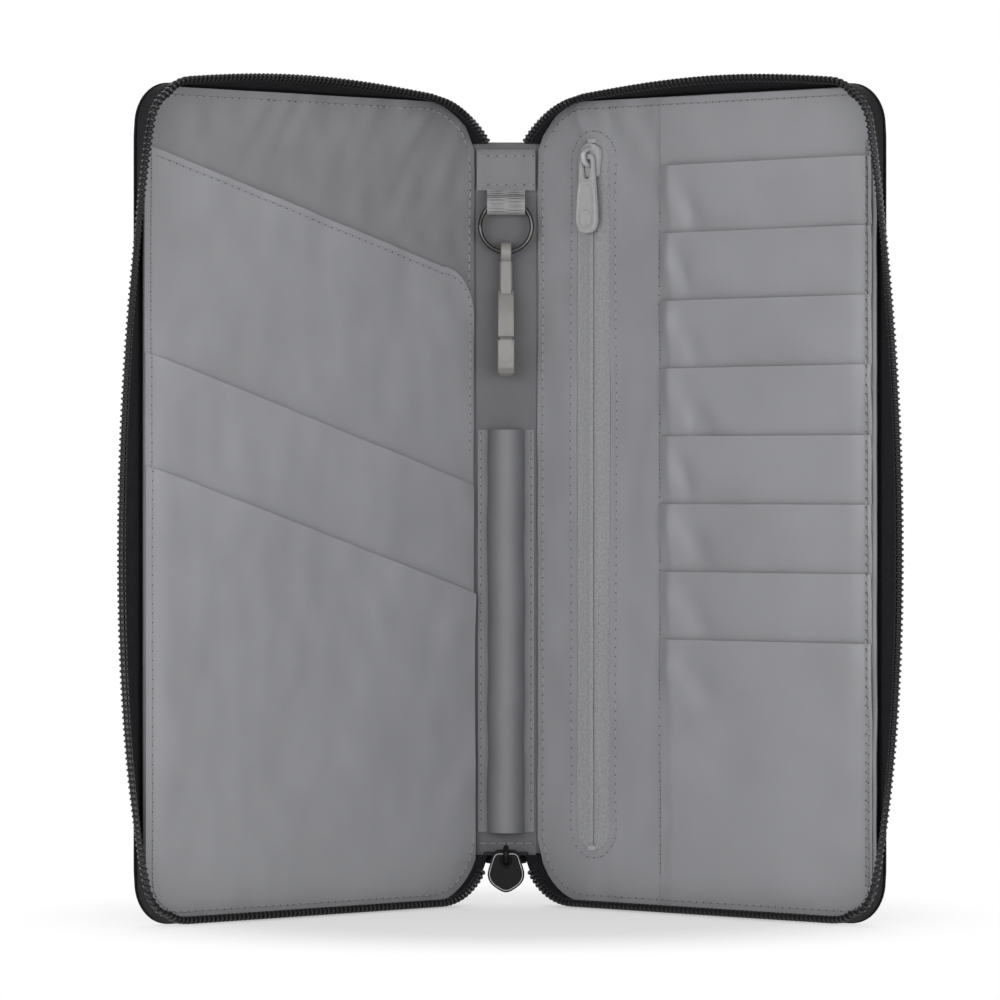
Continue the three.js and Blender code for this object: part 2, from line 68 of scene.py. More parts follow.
# %% [markdown]
# ## Places on the wallet
# A maker thinks of each cover as a flat panel: u runs out from the hinge, v runs up, and h is the
# height above the lining. The hinges and how far the covers are folded come from the joints, so
# every piece below is written in plain millimetres of its own panel.

# %% Panel coordinates
joints = {joint["name"]: joint for joint in frame["record"]["behaviour"]["joints"]}
LEFT, SPINE, RIGHT = -1, 0, 1
body_of_side = {LEFT: "left_cover", SPINE: "spine", RIGHT: "right_cover"}
word_of_side = {LEFT: "left", SPINE: "spine", RIGHT: "right"}
fold_joint = {LEFT: joints["left_cover_fold"], RIGHT: joints["right_cover_fold"]}
hinge = {side: Vector(fold_joint[side]["pos_m"]) for side in fold_joint}
fold = {side: math.radians(fold_joint[side]["range_deg"][1]) for side in fold_joint}
spine_middle = (hinge[LEFT] + hinge[RIGHT]) / 2
hinge_offset = (hinge[RIGHT].x - hinge[LEFT].x) / 2 * 1000


def place(side, u, v, h):
    """World points, in metres, of panel places given in millimetres."""
    u, v, h = np.broadcast_arrays(np.asarray(u, float), np.asarray(v, float), np.asarray(h, float))
    if side == SPINE:
        along, inward, start = (1, 0), (0, -1), spine_middle
    else:
        turn = fold[side]
        along = (side * math.cos(turn), -math.sin(turn))
        inward = (-side * math.sin(turn), -math.cos(turn))
        start = hinge[side]
    x = start.x + (u * along[0] + h * inward[0]) / 1000
    y = start.y + (u * along[1] + h * inward[1]) / 1000
    return np.stack([x, y, v / 1000], axis=-1)


print("hinge offset", round(hinge_offset, 2), "mm")

# %% [markdown]
# ## The cover's outline
# Each cover is a tall panel with round outer corners and long corners that dip to the spine. One
# function gives the lowest and highest v at any u, so every sheet on a cover can be laid as a grid
# of columns. Another gives the same outline as a line to walk along, for the zip and the stitches.

# %% Outline of a cover
COVER_HEIGHT = round((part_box("right_cover_shell")[1].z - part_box("right_cover_shell")[0].z) * 1000, 1)
COVER_WIDTH = 145.5
OUTER_CORNER = 14
CORNER_U = COVER_WIDTH - OUTER_CORNER
SPINE_REACH = 22
TOP_DIP = 14.2
BOTTOM_DIP = 16.3
TOP_RADIUS = (SPINE_REACH ** 2 + TOP_DIP ** 2) / (2 * TOP_DIP)
BOTTOM_RADIUS = (SPINE_REACH ** 2 + BOTTOM_DIP ** 2) / (2 * BOTTOM_DIP)
ARC_STEPS = 60


def edge_depth(u, inset, radius):
    """How far the outline lies inside the cover's straight edge, with this radius near the spine."""
    u = np.asarray(u, float)
    near = radius - np.sqrt(np.maximum((radius - inset) ** 2 - (u - SPINE_REACH) ** 2, 0))
    far = OUTER_CORNER - np.sqrt(np.maximum((OUTER_CORNER - inset) ** 2 - (u - CORNER_U) ** 2, 0))
    return np.where(u < SPINE_REACH, near, np.where(u > CORNER_U, far, inset))


def low_edge(u, inset=0.0):
    return edge_depth(u, inset, BOTTOM_RADIUS)


def high_edge(u, inset=0.0):
    return COVER_HEIGHT - edge_depth(u, inset, TOP_RADIUS)


def arc(centre, radius, start, end, steps=ARC_STEPS):
    angle = np.radians(np.linspace(start, end, steps))
    return np.stack([centre[0] + radius * np.cos(angle), centre[1] + radius * np.sin(angle)], axis=-1)


def edge_line(inset, bottom_reach, top_reach):
    """The outline, in four arcs, from the spine's foot, round the open side, to the spine's top."""
    start = -math.degrees(math.acos(max(-1, (bottom_reach - SPINE_REACH) / (BOTTOM_RADIUS - inset))))
    end = math.degrees(math.acos(max(-1, (top_reach - SPINE_REACH) / (TOP_RADIUS - inset))))
    return np.concatenate([
        arc((SPINE_REACH, BOTTOM_RADIUS), BOTTOM_RADIUS - inset, start, -90),
        arc((CORNER_U, OUTER_CORNER), OUTER_CORNER - inset, -90, 0),
        arc((CORNER_U, COVER_HEIGHT - OUTER_CORNER), OUTER_CORNER - inset, 0, 90),
        arc((SPINE_REACH, COVER_HEIGHT - TOP_RADIUS), TOP_RADIUS - inset, 90, end),
    ])


def lengths_along(line):
    """The distance reached at each point of a line."""
    return np.concatenate([[0], np.cumsum(np.linalg.norm(np.diff(line, axis=0), axis=1))])


def walk(line, distances):
    """Points and outward directions at the given distances along a line."""
    reached = lengths_along(line)

    def at(d):
        return np.stack([np.interp(d, reached, line[:, 0]), np.interp(d, reached, line[:, 1])], axis=-1)

    ahead = at(distances + 0.4) - at(distances - 0.4)
    ahead /= np.maximum(np.linalg.norm(ahead, axis=1, keepdims=True), 1e-9)
    return at(distances), np.stack([ahead[:, 1], -ahead[:, 0]], axis=-1)


print("cover", COVER_HEIGHT, "x", COVER_WIDTH, "mm")

# %% [markdown]
# ## Heaps of small forms
# A zip coil has hundreds of turns and a seam hundreds of stitches. Making an object of each would be
# slow and hard to handle, so a heap gathers plain points and faces. It ends as one object that rides
# one body, or as one that lies across a cover's hinge as it is folded now and rides no body.

# %% Objects and heaps
def new_object(name, points, faces, material, uv, sharp):
    mesh = bpy.data.meshes.new(name)
    mesh.from_pydata([tuple(p) for p in points], [], faces)
    mesh.materials.append(material)
    layer = mesh.uv_layers.new(name="cloth")
    loops = np.empty(len(mesh.loops), np.int32)
    mesh.loops.foreach_get("vertex_index", loops)
    layer.data.foreach_set("uv", np.asarray(uv, np.float32)[loops].ravel())
    mesh.shade_smooth()
    mesh.set_sharp_from_angle(angle=math.radians(sharp))
    made = bpy.data.objects.new(name, mesh)
    bpy.context.scene.collection.objects.link(made)
    return made


def turn_outward(made):
    """Makes the faces of closed forms point out."""
    work = bmesh.new()
    work.from_mesh(made.data)
    bmesh.ops.recalc_face_normals(work, faces=work.faces)
    work.to_mesh(made.data)
    work.free()


HINGE_MIDDLE_V = 130


class Heap:
    """Points and faces of many small forms that end in one object."""

    def __init__(self):
        self.points = []
        self.faces = []
        self.uv = []

    def add(self, points, faces, uv=None):
        base = len(self.points)
        self.points.extend(map(tuple, points))
        self.faces.extend([tuple(base + i for i in face) for face in faces])
        self.uv.extend(map(tuple, uv if uv is not None else np.zeros((len(points), 2))))

    def make(self, name, material, body, slot, sharp=60):
        """An object that rides one body."""
        made = new_object(name, self.points, self.faces, material, self.uv, sharp)
        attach(made, body)
        print(name, len(self.faces), "faces")
        return made

    def make_for(self, node, name, material, body, slot, sharp=60):
        """An object whose faces point out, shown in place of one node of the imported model."""
        made = self.make(name, material, body, slot, sharp)
        turn_outward(made)
        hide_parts(node)

    def make_bending(self, name, material, side, spine_u, cover_u):
        """An object that lies across a cover's hinge as it is folded now; it rides no body and does not bend,
        and the places at spine_u and cover_u are worked out but not used.
        """
        made = new_object(name, self.points, self.faces, material, self.uv, 60)
        turn_outward(made)
        place(SPINE, side * spine_u, HINGE_MIDDLE_V, 0)
        place(side, cover_u, HINGE_MIDDLE_V, 0)
        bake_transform(made)
        print(name, len(self.faces), "faces")
        return made


print("heaps ready")

# %% [markdown]
# ## Sheets and tubes
# Cloth is two grids a thickness apart, closed round the border, because the export needs closed
# forms. Wire, thread and zip coils are tubes swept along a path.

# %% Sheets and tubes
def grid_uv(rows, columns):
    """Cloth places, in millimetres, for a grid of rows and columns."""
    return np.stack(np.meshgrid(rows, columns, indexing="ij"), -1)


def grid_sheet(heap, front, back, uv):
    """A closed thin sheet from its front and back grids of points."""
    rows, columns = front.shape[:2]
    count = rows * columns
    number = np.arange(count).reshape(rows, columns)
    faces = []
    for i in range(rows - 1):
        for j in range(columns - 1):
            a, b, c, d = number[i, j], number[i + 1, j], number[i + 1, j + 1], number[i, j + 1]
            faces.append((a, b, c, d))
            faces.append((d + count, c + count, b + count, a + count))
    border = [*number[0, :], *number[1:, -1], *number[-1, -2::-1], *number[-2:0:-1, 0]]
    for a, b in zip(border, border[1:] + border[:1]):
        faces.append((a, b, b + count, a + count))
    points = np.concatenate([front.reshape(-1, 3), back.reshape(-1, 3)])
    heap.add(points, faces, np.concatenate([uv.reshape(-1, 2)] * 2))


def panel(heap, side, us, low, high, surface, thickness, rows=90):
    """A sheet on a panel, in columns from low to high, whose face is at the height that surface gives."""
    us = np.asarray(us, float)
    low = np.broadcast_to(low, us.shape)
    high = np.broadcast_to(high, us.shape)
    share = np.linspace(0, 1, rows)[None, :]
    v = low[:, None] + (high - low)[:, None] * share
    u = np.broadcast_to(us[:, None], v.shape)
    h = surface(u, v)
    front = place(side, u, v, h)
    back = place(side, u, v, h - thickness)
    grid_sheet(heap, front, back, np.stack([u, v], axis=-1))


def tube(heap, path, radius, sides=8, closed=False, across=(0.31, 0.42, 0.85)):
    """A round bar along a path of world points, in metres. The path never runs along across."""
    path = np.asarray(path, float)
    count = len(path)
    if closed:
        ahead = np.roll(path, -1, axis=0) - np.roll(path, 1, axis=0)
    else:
        ahead = np.gradient(path, axis=0)
    ahead /= np.linalg.norm(ahead, axis=1, keepdims=True)
    first = np.cross(ahead, across)
    first /= np.linalg.norm(first, axis=1, keepdims=True)
    second = np.cross(ahead, first)
    radius = np.broadcast_to(radius, (count,))
    angle = np.linspace(0, 2 * math.pi, sides, endpoint=False)
    ring = first[:, None] * np.cos(angle)[None, :, None] + second[:, None] * np.sin(angle)[None, :, None]
    points = (path[:, None] + ring * radius[:, None, None]).reshape(-1, 3)
    faces = []
    for i in range(count if closed else count - 1):
        for j in range(sides):
            a, b = i * sides + j, i * sides + (j + 1) % sides
            c, d = (b + sides) % (count * sides), (a + sides) % (count * sides)
            faces.append((a, d, c, b))
    if not closed:
        faces.append(tuple(range(sides)))
        faces.append(tuple(range(count * sides - 1, (count - 1) * sides - 1, -1)))
    heap.add(points, faces)


print("sheets and tubes ready")

# %% [markdown]
# ## Parts of a finish
# A finish starts from one shader with a colour and a roughness. Two things are added to it: soft
# shade changes, because no dyed cloth is quite even, and a fine relief, from a weave or from grain.

# %% Finish helpers
def shader(name, color, roughness, metallic=0.0):
    material = bpy.data.materials.new(name)
    material.use_nodes = True
    tree = material.node_tree
    surface = tree.nodes["Principled BSDF"]
    surface.inputs["Base Color"].default_value = (*color, 1)
    surface.inputs["Roughness"].default_value = roughness
    surface.inputs["Metallic"].default_value = metallic
    return material, tree, surface


def math_node(tree, operation, *values):
    """One step of arithmetic on numbers or other nodes' outputs."""
    node = tree.nodes.new("ShaderNodeMath")
    node.operation = operation
    for socket, value in zip(node.inputs, values):
        if isinstance(value, (int, float)):
            socket.default_value = value
        else:
            tree.links.new(value, socket)
    return node.outputs[0]


def thread_height(tree, source, pitches):
    """A plain weave's height: a wave across each of the two threads, multiplied."""
    split = tree.nodes.new("ShaderNodeSeparateXYZ")
    tree.links.new(source, split.inputs[0])
    turns = [math_node(tree, "MULTIPLY", split.outputs[i], 2 * math.pi / pitches[i]) for i in range(2)]
    return math_node(tree, "MULTIPLY", *[math_node(tree, "SINE", turn) for turn in turns])


def vary(tree, surface, source, color, spread, scale):
    """Soft shade changes in the base colour."""
    grain = tree.nodes.new("ShaderNodeTexNoise")
    grain.inputs["Scale"].default_value = scale
    grain.inputs["Detail"].default_value = 3
    tree.links.new(source, grain.inputs["Vector"])
    ramp = tree.nodes.new("ShaderNodeValToRGB")
    ramp.color_ramp.elements[0].position = 0.3
    ramp.color_ramp.elements[1].position = 0.7
    ramp.color_ramp.elements[0].color = (*[c * (1 - spread) for c in color], 1)
    ramp.color_ramp.elements[1].color = (*[c * (1 + spread) for c in color], 1)
    tree.links.new(grain.outputs["Fac"], ramp.inputs["Fac"])
    tree.links.new(ramp.outputs["Color"], surface.inputs["Base Color"])
    return grain.outputs["Fac"]


def bump(tree, surface, height, distance, strength):
    node = tree.nodes.new("ShaderNodeBump")
    node.inputs["Strength"].default_value = strength
    node.inputs["Distance"].default_value = distance
    tree.links.new(height, node.inputs["Height"])
    tree.links.new(node.outputs["Normal"], surface.inputs["Normal"])


def woven(name, color, roughness, pitch, depth, spread, patch, sheen=0.0, shine=0.5):
    """Cloth: pitch and depth are its weave's in millimetres, spread and patch those of its shades."""
    material, tree, surface = shader(name, color, roughness)
    surface.inputs["Sheen Weight"].default_value = sheen
    surface.inputs["Specular IOR Level"].default_value = shine
    layer = tree.nodes.new("ShaderNodeUVMap")
    layer.uv_map = "cloth"
    vary(tree, surface, layer.outputs["UV"], color, spread, patch)
    bump(tree, surface, thread_height(tree, layer.outputs["UV"], pitch), depth / 1000, 0.6)
    return material


def solid(name, color, roughness, metallic=0.0, grain=400, depth=0.02, spread=0.06, shine=0.5):
    """Plastic, paint or metal, with a fine grain in its colour and its relief."""
    material, tree, surface = shader(name, color, roughness, metallic)
    surface.inputs["Specular IOR Level"].default_value = shine
    place_node = tree.nodes.new("ShaderNodeTexCoord")
    height = vary(tree, surface, place_node.outputs["Object"], color, spread, grain)
    bump(tree, surface, height, depth / 1000, 0.5)
    return material


print("finish helpers ready")

# %% [markdown]
# ## Cloth, plastic and metal
# The lining is a fine, slightly shiny coated nylon, so its weave is only a faint bump with soft
# shade changes. Behind the pockets and on the spine, the band and the pen loop included, it gets
# less light than the lamps here give, so those pieces are painted darker, as painted shade. The
# outside is a coarse black weave. Zip tape is ribbed across its run. The zip coils are glossy black
# nylon and the small fittings are painted metal.

# %% Finishes
LINING_GREY = (0.232, 0.233, 0.246)
TAPE_BLACK = (0.010, 0.010, 0.0115)
FINE_WEAVE = (0.42, 0.42)
lining = woven("coated_nylon", LINING_GREY, 0.4, FINE_WEAVE, depth=0.03, spread=0.05, patch=0.03, sheen=0.05)
# Painted shade: the left cover's lining, behind the pockets, is the same nylon painted darker.
lining_painted_shade = woven("coated_nylon_painted_shade", (0.182, 0.183, 0.193), 0.42, FINE_WEAVE,
                    depth=0.03, spread=0.07, patch=0.04)
# Painted shade: the spine's lining and the hinge folds sit deep between the covers, so their nylon is painted
# darker.
spine_painted_shade_cloth = woven("coated_nylon_spine_painted_shade", (0.062, 0.062, 0.067), 0.45, FINE_WEAVE,
                    depth=0.03, spread=0.12, patch=0.04)
# Painted shade: the top band and the pen loop are strips of lining in the spine's hollow, painted darker than
# the lining.
band_painted_shade_cloth = woven("coated_nylon_band_painted_shade", (0.135, 0.136, 0.145), 0.5, FINE_WEAVE,
                   depth=0.03, spread=0.06, patch=0.05)
outer_cloth = woven("black_canvas", (0.008, 0.0075, 0.0078), 0.9, (0.9, 0.9),
                    depth=0.15, spread=0.25, patch=0.3, shine=0.15)
tape_cloth = woven("black_zip_tape", TAPE_BLACK, 0.85, (1.1, 0.55),
                   depth=0.1, spread=0.2, patch=0.4, shine=0.15)
coin_tape_cloth = woven("grey_zip_tape", (0.285, 0.287, 0.298), 0.75, (0.8, 0.8),
                        depth=0.25, spread=0.16, patch=1.1)
strap_cloth = woven("grey_webbing", (0.24, 0.235, 0.24), 0.75, (12.0, 1.1),
                    depth=0.5, spread=0.08, patch=0.5)
thread = solid("grey_thread", (0.235, 0.236, 0.248), 0.6, grain=900, depth=0.04, spread=0.15)
needle_hole = solid("needle_hole_shade", (0.03, 0.03, 0.032), 0.8, grain=900, depth=0.02, spread=0.15)
zip_nylon = solid("black_coil", (0.010, 0.010, 0.011), 0.3, grain=700, depth=0.02, spread=0.2, shine=0.3)
grey_nylon = solid("grey_coil", (0.24, 0.24, 0.25), 0.45, grain=700, depth=0.02)
grey_paint = solid("grey_painted_metal", (0.33, 0.33, 0.333), 0.4, grain=500, depth=0.01)
black_paint = solid("black_painted_metal", (0.004, 0.004, 0.0045), 0.35, grain=500, depth=0.01, shine=0.12)
bare_edge = solid("worn_bright_edge", (0.42, 0.41, 0.39), 0.3, 1.0, grain=600, depth=0.02)
ring_metal = solid("gunmetal", (0.06, 0.058, 0.056), 0.2, 1.0, grain=300, depth=0.01)
clip_nylon = solid("moulded_grey", (0.19, 0.186, 0.177), 0.42, grain=350, depth=0.01, spread=0.03)
foam_grey = solid("grey_foam", (0.05, 0.05, 0.052), 0.95, grain=900, depth=0.2, spread=0.3)
print("materials", len(bpy.data.materials))

# %% [markdown]
# ## Camera
# The photo looks level at the wallet from far away, so its uprights stay upright. A long lens two
# metres off gives that.

# %% Camera
scene = bpy.context.scene
scene.view_settings.view_transform = "Standard"
CAMERA_DISTANCE, CAMERA_HEIGHT = 2.0, 0.1446
camera_data = bpy.data.cameras.new("camera")
camera_data.lens = 216
camera_data.sensor_width = 36
camera_data.shift_y = -0.03
camera = bpy.data.objects.new("camera", camera_data)
camera.location = (spine_middle.x - 0.002, spine_middle.y - CAMERA_DISTANCE, CAMERA_HEIGHT)
camera.rotation_euler = (math.radians(90), 0, 0)
scene.collection.objects.link(camera)
scene.camera = camera
print("camera at", [round(x, 3) for x in camera.location])

# %% [markdown]
# ## Light
# The surround is pure white to the camera and in reflections, and half as bright as a light, so that
# the cloth keeps its shades. Two large lamps in front and one behind do the rest, as in a studio.

# %% Surround and lamps
world = bpy.data.worlds.new("studio")
world.use_nodes = True
scene.world = world
nodes, links = world.node_tree.nodes, world.node_tree.links
surround = nodes["Background"]
light_path = nodes.new("ShaderNodeLightPath")
seen = nodes.new("ShaderNodeMath")
seen.operation = "MAXIMUM"
links.new(light_path.outputs["Is Camera Ray"], seen.inputs[0])
links.new(light_path.outputs["Is Glossy Ray"], seen.inputs[1])
level = nodes.new("ShaderNodeMapRange")
level.inputs["To Min"].default_value = 0.5
level.inputs["To Max"].default_value = 1.0
links.new(seen.outputs[0], level.inputs["Value"])
surround.inputs["Color"].default_value = (1, 1, 1, 1)
links.new(level.outputs["Result"], surround.inputs["Strength"])


def soft_lamp(name, location, aim, size, power):
    data = bpy.data.lights.new(name, "AREA")
    data.shape = "RECTANGLE"
    data.size, data.size_y = size
    data.energy = power
    lamp = bpy.data.objects.new(name, data)
    lamp.location = location
    lamp.rotation_euler = (Vector(aim) - Vector(location)).to_track_quat("-Z", "Y").to_euler()
    scene.collection.objects.link(lamp)
    print(name, "lamp of", power, "W")


soft_lamp("key", (-0.55, -1.2, 0.3), (0, 0, 0.1), (0.8, 0.6), 7.1)
soft_lamp("fill", (0.6, -1.3, 0.12), (0, 0, 0.06), (0.8, 0.6), 7.8)
soft_lamp("back", (0.1, 1.0, 0.8), (0, 0, 0.13), (0.9, 0.5), 4.0)

# %% [markdown]
# ## Floor
# The floor is white and fades into the white surround between 7 and 17 centimetres from the
# wallet's middle, so only the soft shadow by the wallet's foot is left.

# %% Floor
FLOOR_HALF = 0.7
FADE_START, FADE_END = 0.07, 0.17
FLOOR_GLOW = 0.45
corners = [(-FLOOR_HALF, -FLOOR_HALF, 0), (FLOOR_HALF, -FLOOR_HALF, 0),
           (FLOOR_HALF, FLOOR_HALF, 0), (-FLOOR_HALF, FLOOR_HALF, 0)]
floor_mesh = bpy.data.meshes.new("floor")
floor_mesh.from_pydata(corners, [], [(0, 1, 2, 3)])
floor = bpy.data.objects.new("floor", floor_mesh)
scene.collection.objects.link(floor)
floor_material, tree, surface = shader("white_floor", (0.9, 0.9, 0.9), 0.7)
white = tree.nodes.new("ShaderNodeEmission")
spot = tree.nodes.new("ShaderNodeTexCoord")
reach = tree.nodes.new("ShaderNodeVectorMath")
reach.operation = "LENGTH"
tree.links.new(spot.outputs["Object"], reach.inputs[0])
fade = tree.nodes.new("ShaderNodeMapRange")
fade.interpolation_type = "SMOOTHSTEP"
fade.inputs["From Min"].default_value = FADE_START
fade.inputs["From Max"].default_value = FADE_END
fade.inputs["To Min"].default_value = FLOOR_GLOW
tree.links.new(reach.outputs["Value"], fade.inputs["Value"])
blend_floor = tree.nodes.new("ShaderNodeMixShader")
sources = (fade.outputs["Result"], surface.outputs[0], white.outputs[0])
for socket, source in zip(blend_floor.inputs, sources):
    tree.links.new(source, socket)
tree.links.new(blend_floor.outputs[0], tree.nodes["Material Output"].inputs["Surface"])
floor_mesh.materials.append(floor_material)
print("floor fades from", FADE_START, "to", FADE_END, "m")

# %% [markdown]
# ## The outer fabric
# One piece of black canvas covers the back, and folds softly over the two hinges. Three flat plates
# would tear at the fold when a cover moves. Here each half runs from the middle of the spine to the
# cover's edge and curves across its hinge as the cover is folded now; it rides no body and does not
# bend when a cover moves. The padding crowns it a little.

# %% Outer fabric, in two halves that meet at the spine's middle
SHELL_BACK = -3.4
SHELL_THICKNESS = 0.8
SPINE_TOP = COVER_HEIGHT - TOP_DIP
ROWS = 70
HINGE_HANG = 0.6
TURN_LENGTH = 2.5
CROWN, RIM_ROLL = 0.9, 0.35


def upright(low, high):
    return low + (high - low) * np.linspace(0, 1, ROWS)


def padded(u, v, depth):
    """The canvas's height on a cover, whose padding crowns it and whose rim is rolled in."""
    edge = np.minimum(v - v[0], v[-1] - v)
    across = math.sin(math.pi * min(u, COVER_WIDTH) / COVER_WIDTH) ** 0.5
    crown = -CROWN * np.clip(edge / 40, 0, 1) ** 0.7 * across
    return depth + crown + RIM_ROLL * np.clip(1 - edge / 5, 0, 1) ** 2


def shell_columns(side, depth):
    """Columns of points at one depth, from the spine's middle to the cover's edge, and their cloth places."""
    points, uv = [], []
    spine_v = upright(BOTTOM_DIP - HINGE_HANG, SPINE_TOP)
    for x in np.linspace(0, hinge_offset, 7):
        points.append(place(SPINE, side * x, spine_v, depth))
        uv.append(np.stack([np.full(ROWS, side * x - hinge_offset), spine_v], -1))
    for share in np.linspace(0, 1, 8)[1:-1]:
        angle = share * fold[side]
        x = side * (hinge_offset - depth * math.sin(angle))
        points.append(place(SPINE, x, spine_v, depth * math.cos(angle)))
        uv.append(np.stack([np.full(ROWS, share * TURN_LENGTH), spine_v], -1))
    us = np.concatenate([np.linspace(0.05, SPINE_REACH, 12)[:-1], np.linspace(SPINE_REACH, CORNER_U, 26)[:-1],
                         CORNER_U + OUTER_CORNER * np.sin(np.linspace(0, math.pi / 2, 14))])
    for u in us:
        v = upright(float(low_edge(u)), float(high_edge(u)))
        points.append(place(side, u, v, padded(u, v, depth)))
        uv.append(np.stack([np.full(ROWS, u + TURN_LENGTH), v], -1))
    return np.array(points), np.array(uv)


def outer_half(side):
    front, uv = shell_columns(side, SHELL_BACK + SHELL_THICKNESS)
    back, _ = shell_columns(side, SHELL_BACK)
    heap = Heap()
    grid_sheet(heap, front, back, uv)
    name = f"{word_of_side[side]}_outer_fabric"
    return heap.make_bending(name, outer_cloth, side, 8.5, 3.5)


left_outer = outer_half(LEFT)
right_outer = outer_half(RIGHT)
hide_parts("left_cover_shell", "spine_shell")
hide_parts("right_cover_shell")

# %% [markdown]
# ## Soft cloth
# Thin coated nylon never lies quite flat. It has shallow dents, and long soft folds hang from its
# top edge. Smooth noise, stretched the way the cloth is pulled, makes those. A cloth simulation
# would add little here, because the lining is sewn down on all sides.

# %% Soft cloth surfaces
def ripples(u, v, scale_u, scale_v, seed):
    points = np.stack([u / scale_u, v / scale_v, np.full(u.shape, float(seed))], axis=-1).reshape(-1, 3)
    values = [noise.noise(Vector(p)) for p in points]
    return np.array(values).reshape(u.shape)


def hill(x, centre, width):
    """A smooth bump of height 1 about a centre."""
    return np.exp(-((x - centre) / width) ** 2)


def soft_cloth(base, seed, amount, top=None, top_amount=0.0, slant=0.0, shown_above=None):
    """A surface at a base height with dents, and folds that hang from the top edge.

    Below the line shown_above another layer lies on it, so the dents stay small there."""

    def surface(u, v):
        across = u + slant * v
        free = 1.0
        if shown_above is not None:
            free = np.clip((v - shown_above(u)) / 9 + 0.2, 0.2, 1)
        h = 0.65 * ripples(across, v, 24, 46, seed) + 0.4 * ripples(u, v, 9, 15, seed + 5)
        h = base + amount * free * h
        if top is not None:
            near = np.exp(-np.maximum(top - v, 0) / 24) * np.clip((top - v) / 6, 0, 1)
            h = h + top_amount * near * ripples(u + 0.6 * v, v, 6.5, 34, seed + 9)
        return np.maximum(h, base - 0.45)

    return surface


def dense(low, high, step=2.2):
    return np.linspace(low, high, max(3, int((high - low) / step)))


def corner_columns(start, inset, step=2.2):
    """Columns that come closer together in the outer corners."""
    round_part = CORNER_U + (OUTER_CORNER - inset) * np.sin(np.linspace(0, math.pi / 2, 12))
    return np.concatenate([dense(start, CORNER_U, step)[:-1], round_part])


print("columns across a cover", len(corner_columns(0, 0)))

# %% [markdown]
# ## Pocket mouths
# The three pockets on the left have straight sloping mouths, and the rear one turns down beside the
# spine in a round shoulder. The lining needs these lines too, because its dents stay small where a
# pocket lies on it.

# %% Pocket mouths
POCKET_INSET = 1.5
REAR_OUTER, REAR_INNER = 247.9, 212.0
REAR_SHOULDER, SHOULDER_DROP = 16.0, 17
MIDDLE_OUTER, MIDDLE_INNER = 182.0, 139.4
FRONT_OUTER, FRONT_INNER = 146.0, 103.4


def slope(outer, inner, u, inner_u=2.0):
    return inner + (outer - inner) * (np.asarray(u) - inner_u) / (COVER_WIDTH - POCKET_INSET - inner_u)


def rear_mouth(u):
    u = np.asarray(u, float)
    line = slope(REAR_OUTER, REAR_INNER, u, REAR_SHOULDER)
    turn = np.clip((REAR_SHOULDER - u) / (REAR_SHOULDER - 1.6), 0, 1)
    return np.where(u < REAR_SHOULDER, REAR_INNER - SHOULDER_DROP * (1 - np.sqrt(1 - turn ** 2)), line)


def middle_mouth(u):
    return slope(MIDDLE_OUTER, MIDDLE_INNER, u)


def front_mouth(u):
    return slope(FRONT_OUTER, FRONT_INNER, u)


print("mouths at the outer edge", REAR_OUTER, MIDDLE_OUTER, FRONT_OUTER, "mm")

# %% [markdown]
# ## The lining
# Each cover has a lining that stops just inside the edge, and the spine has its own strip. The
# right one has a long window with round ends for the coin zip. It is laid in four stretches round
# the window, which share one surface, so no step shows between them.

# %% Lining panels
LINING_INSET = 1.4
LINING_THICKNESS = 0.35
ZIP_U = 25.0
ZIP_HALF = 7.25
ZIP_BOTTOM, ZIP_TOP = 19.0, COVER_HEIGHT - 14


def cover_lining(heap, side, us, surface, low=None, high=None, rows=90):
    """A stretch of lining, from the cover's bottom edge to its top unless low or high says otherwise."""
    low = low_edge(us, LINING_INSET) if low is None else low
    high = high_edge(us, LINING_INSET) if high is None else high
    panel(heap, side, us, low, high, surface, LINING_THICKNESS, rows)


heap = Heap()
left_surface = soft_cloth(0.0, 3, 1.3, COVER_HEIGHT, 2.0, shown_above=rear_mouth)
cover_lining(heap, LEFT, corner_columns(0.45, LINING_INSET), left_surface, rows=130)
# The left lining lies behind the pockets and takes the darker colour of painted shade.
heap.make_for("left_lining", "left_lining_cloth", lining_painted_shade, "left_cover", "lining")

heap = Heap()
right_surface = soft_cloth(0.0, 21, 0.9, COVER_HEIGHT, 1.4)
cover_lining(heap, RIGHT, dense(0.45, ZIP_U - ZIP_HALF, 1.8), right_surface)
cover_lining(heap, RIGHT, corner_columns(ZIP_U + ZIP_HALF, LINING_INSET), right_surface)
us = ZIP_U + ZIP_HALF * np.sin(np.linspace(-math.pi / 2, math.pi / 2, 17))
round_end = np.sqrt(np.maximum(ZIP_HALF ** 2 - (us - ZIP_U) ** 2, 0))
cover_lining(heap, RIGHT, us, right_surface, high=ZIP_BOTTOM + ZIP_HALF - round_end, rows=12)
cover_lining(heap, RIGHT, us, right_surface, low=ZIP_TOP - ZIP_HALF + round_end, rows=12)
heap.make_for("right_lining", "right_lining_cloth", lining, "right_cover", "lining")

heap = Heap()
spine_surface = soft_cloth(-0.05, 44, 0.35)
panel(heap, SPINE, dense(-10, 10, 1.2), BOTTOM_DIP, SPINE_TOP, spine_surface, LINING_THICKNESS, 120)
# Painted shade: the spine's lining is painted darker than the covers' lining.
heap.make_for("spine_lining", "spine_lining_cloth", spine_painted_shade_cloth, "spine", "lining")

# %% [markdown]
# The lining runs on across each hinge as a shallow fold, which is why no black shows there. It is
# its own narrow strip, shaped for the covers' present fold; it rides no body and does not bend as a
# cover moves, and its two long edges lie under the linings.

# %% Hinge folds
FOLD_LIFT = np.array([0, 0.3, 0]) / 1000


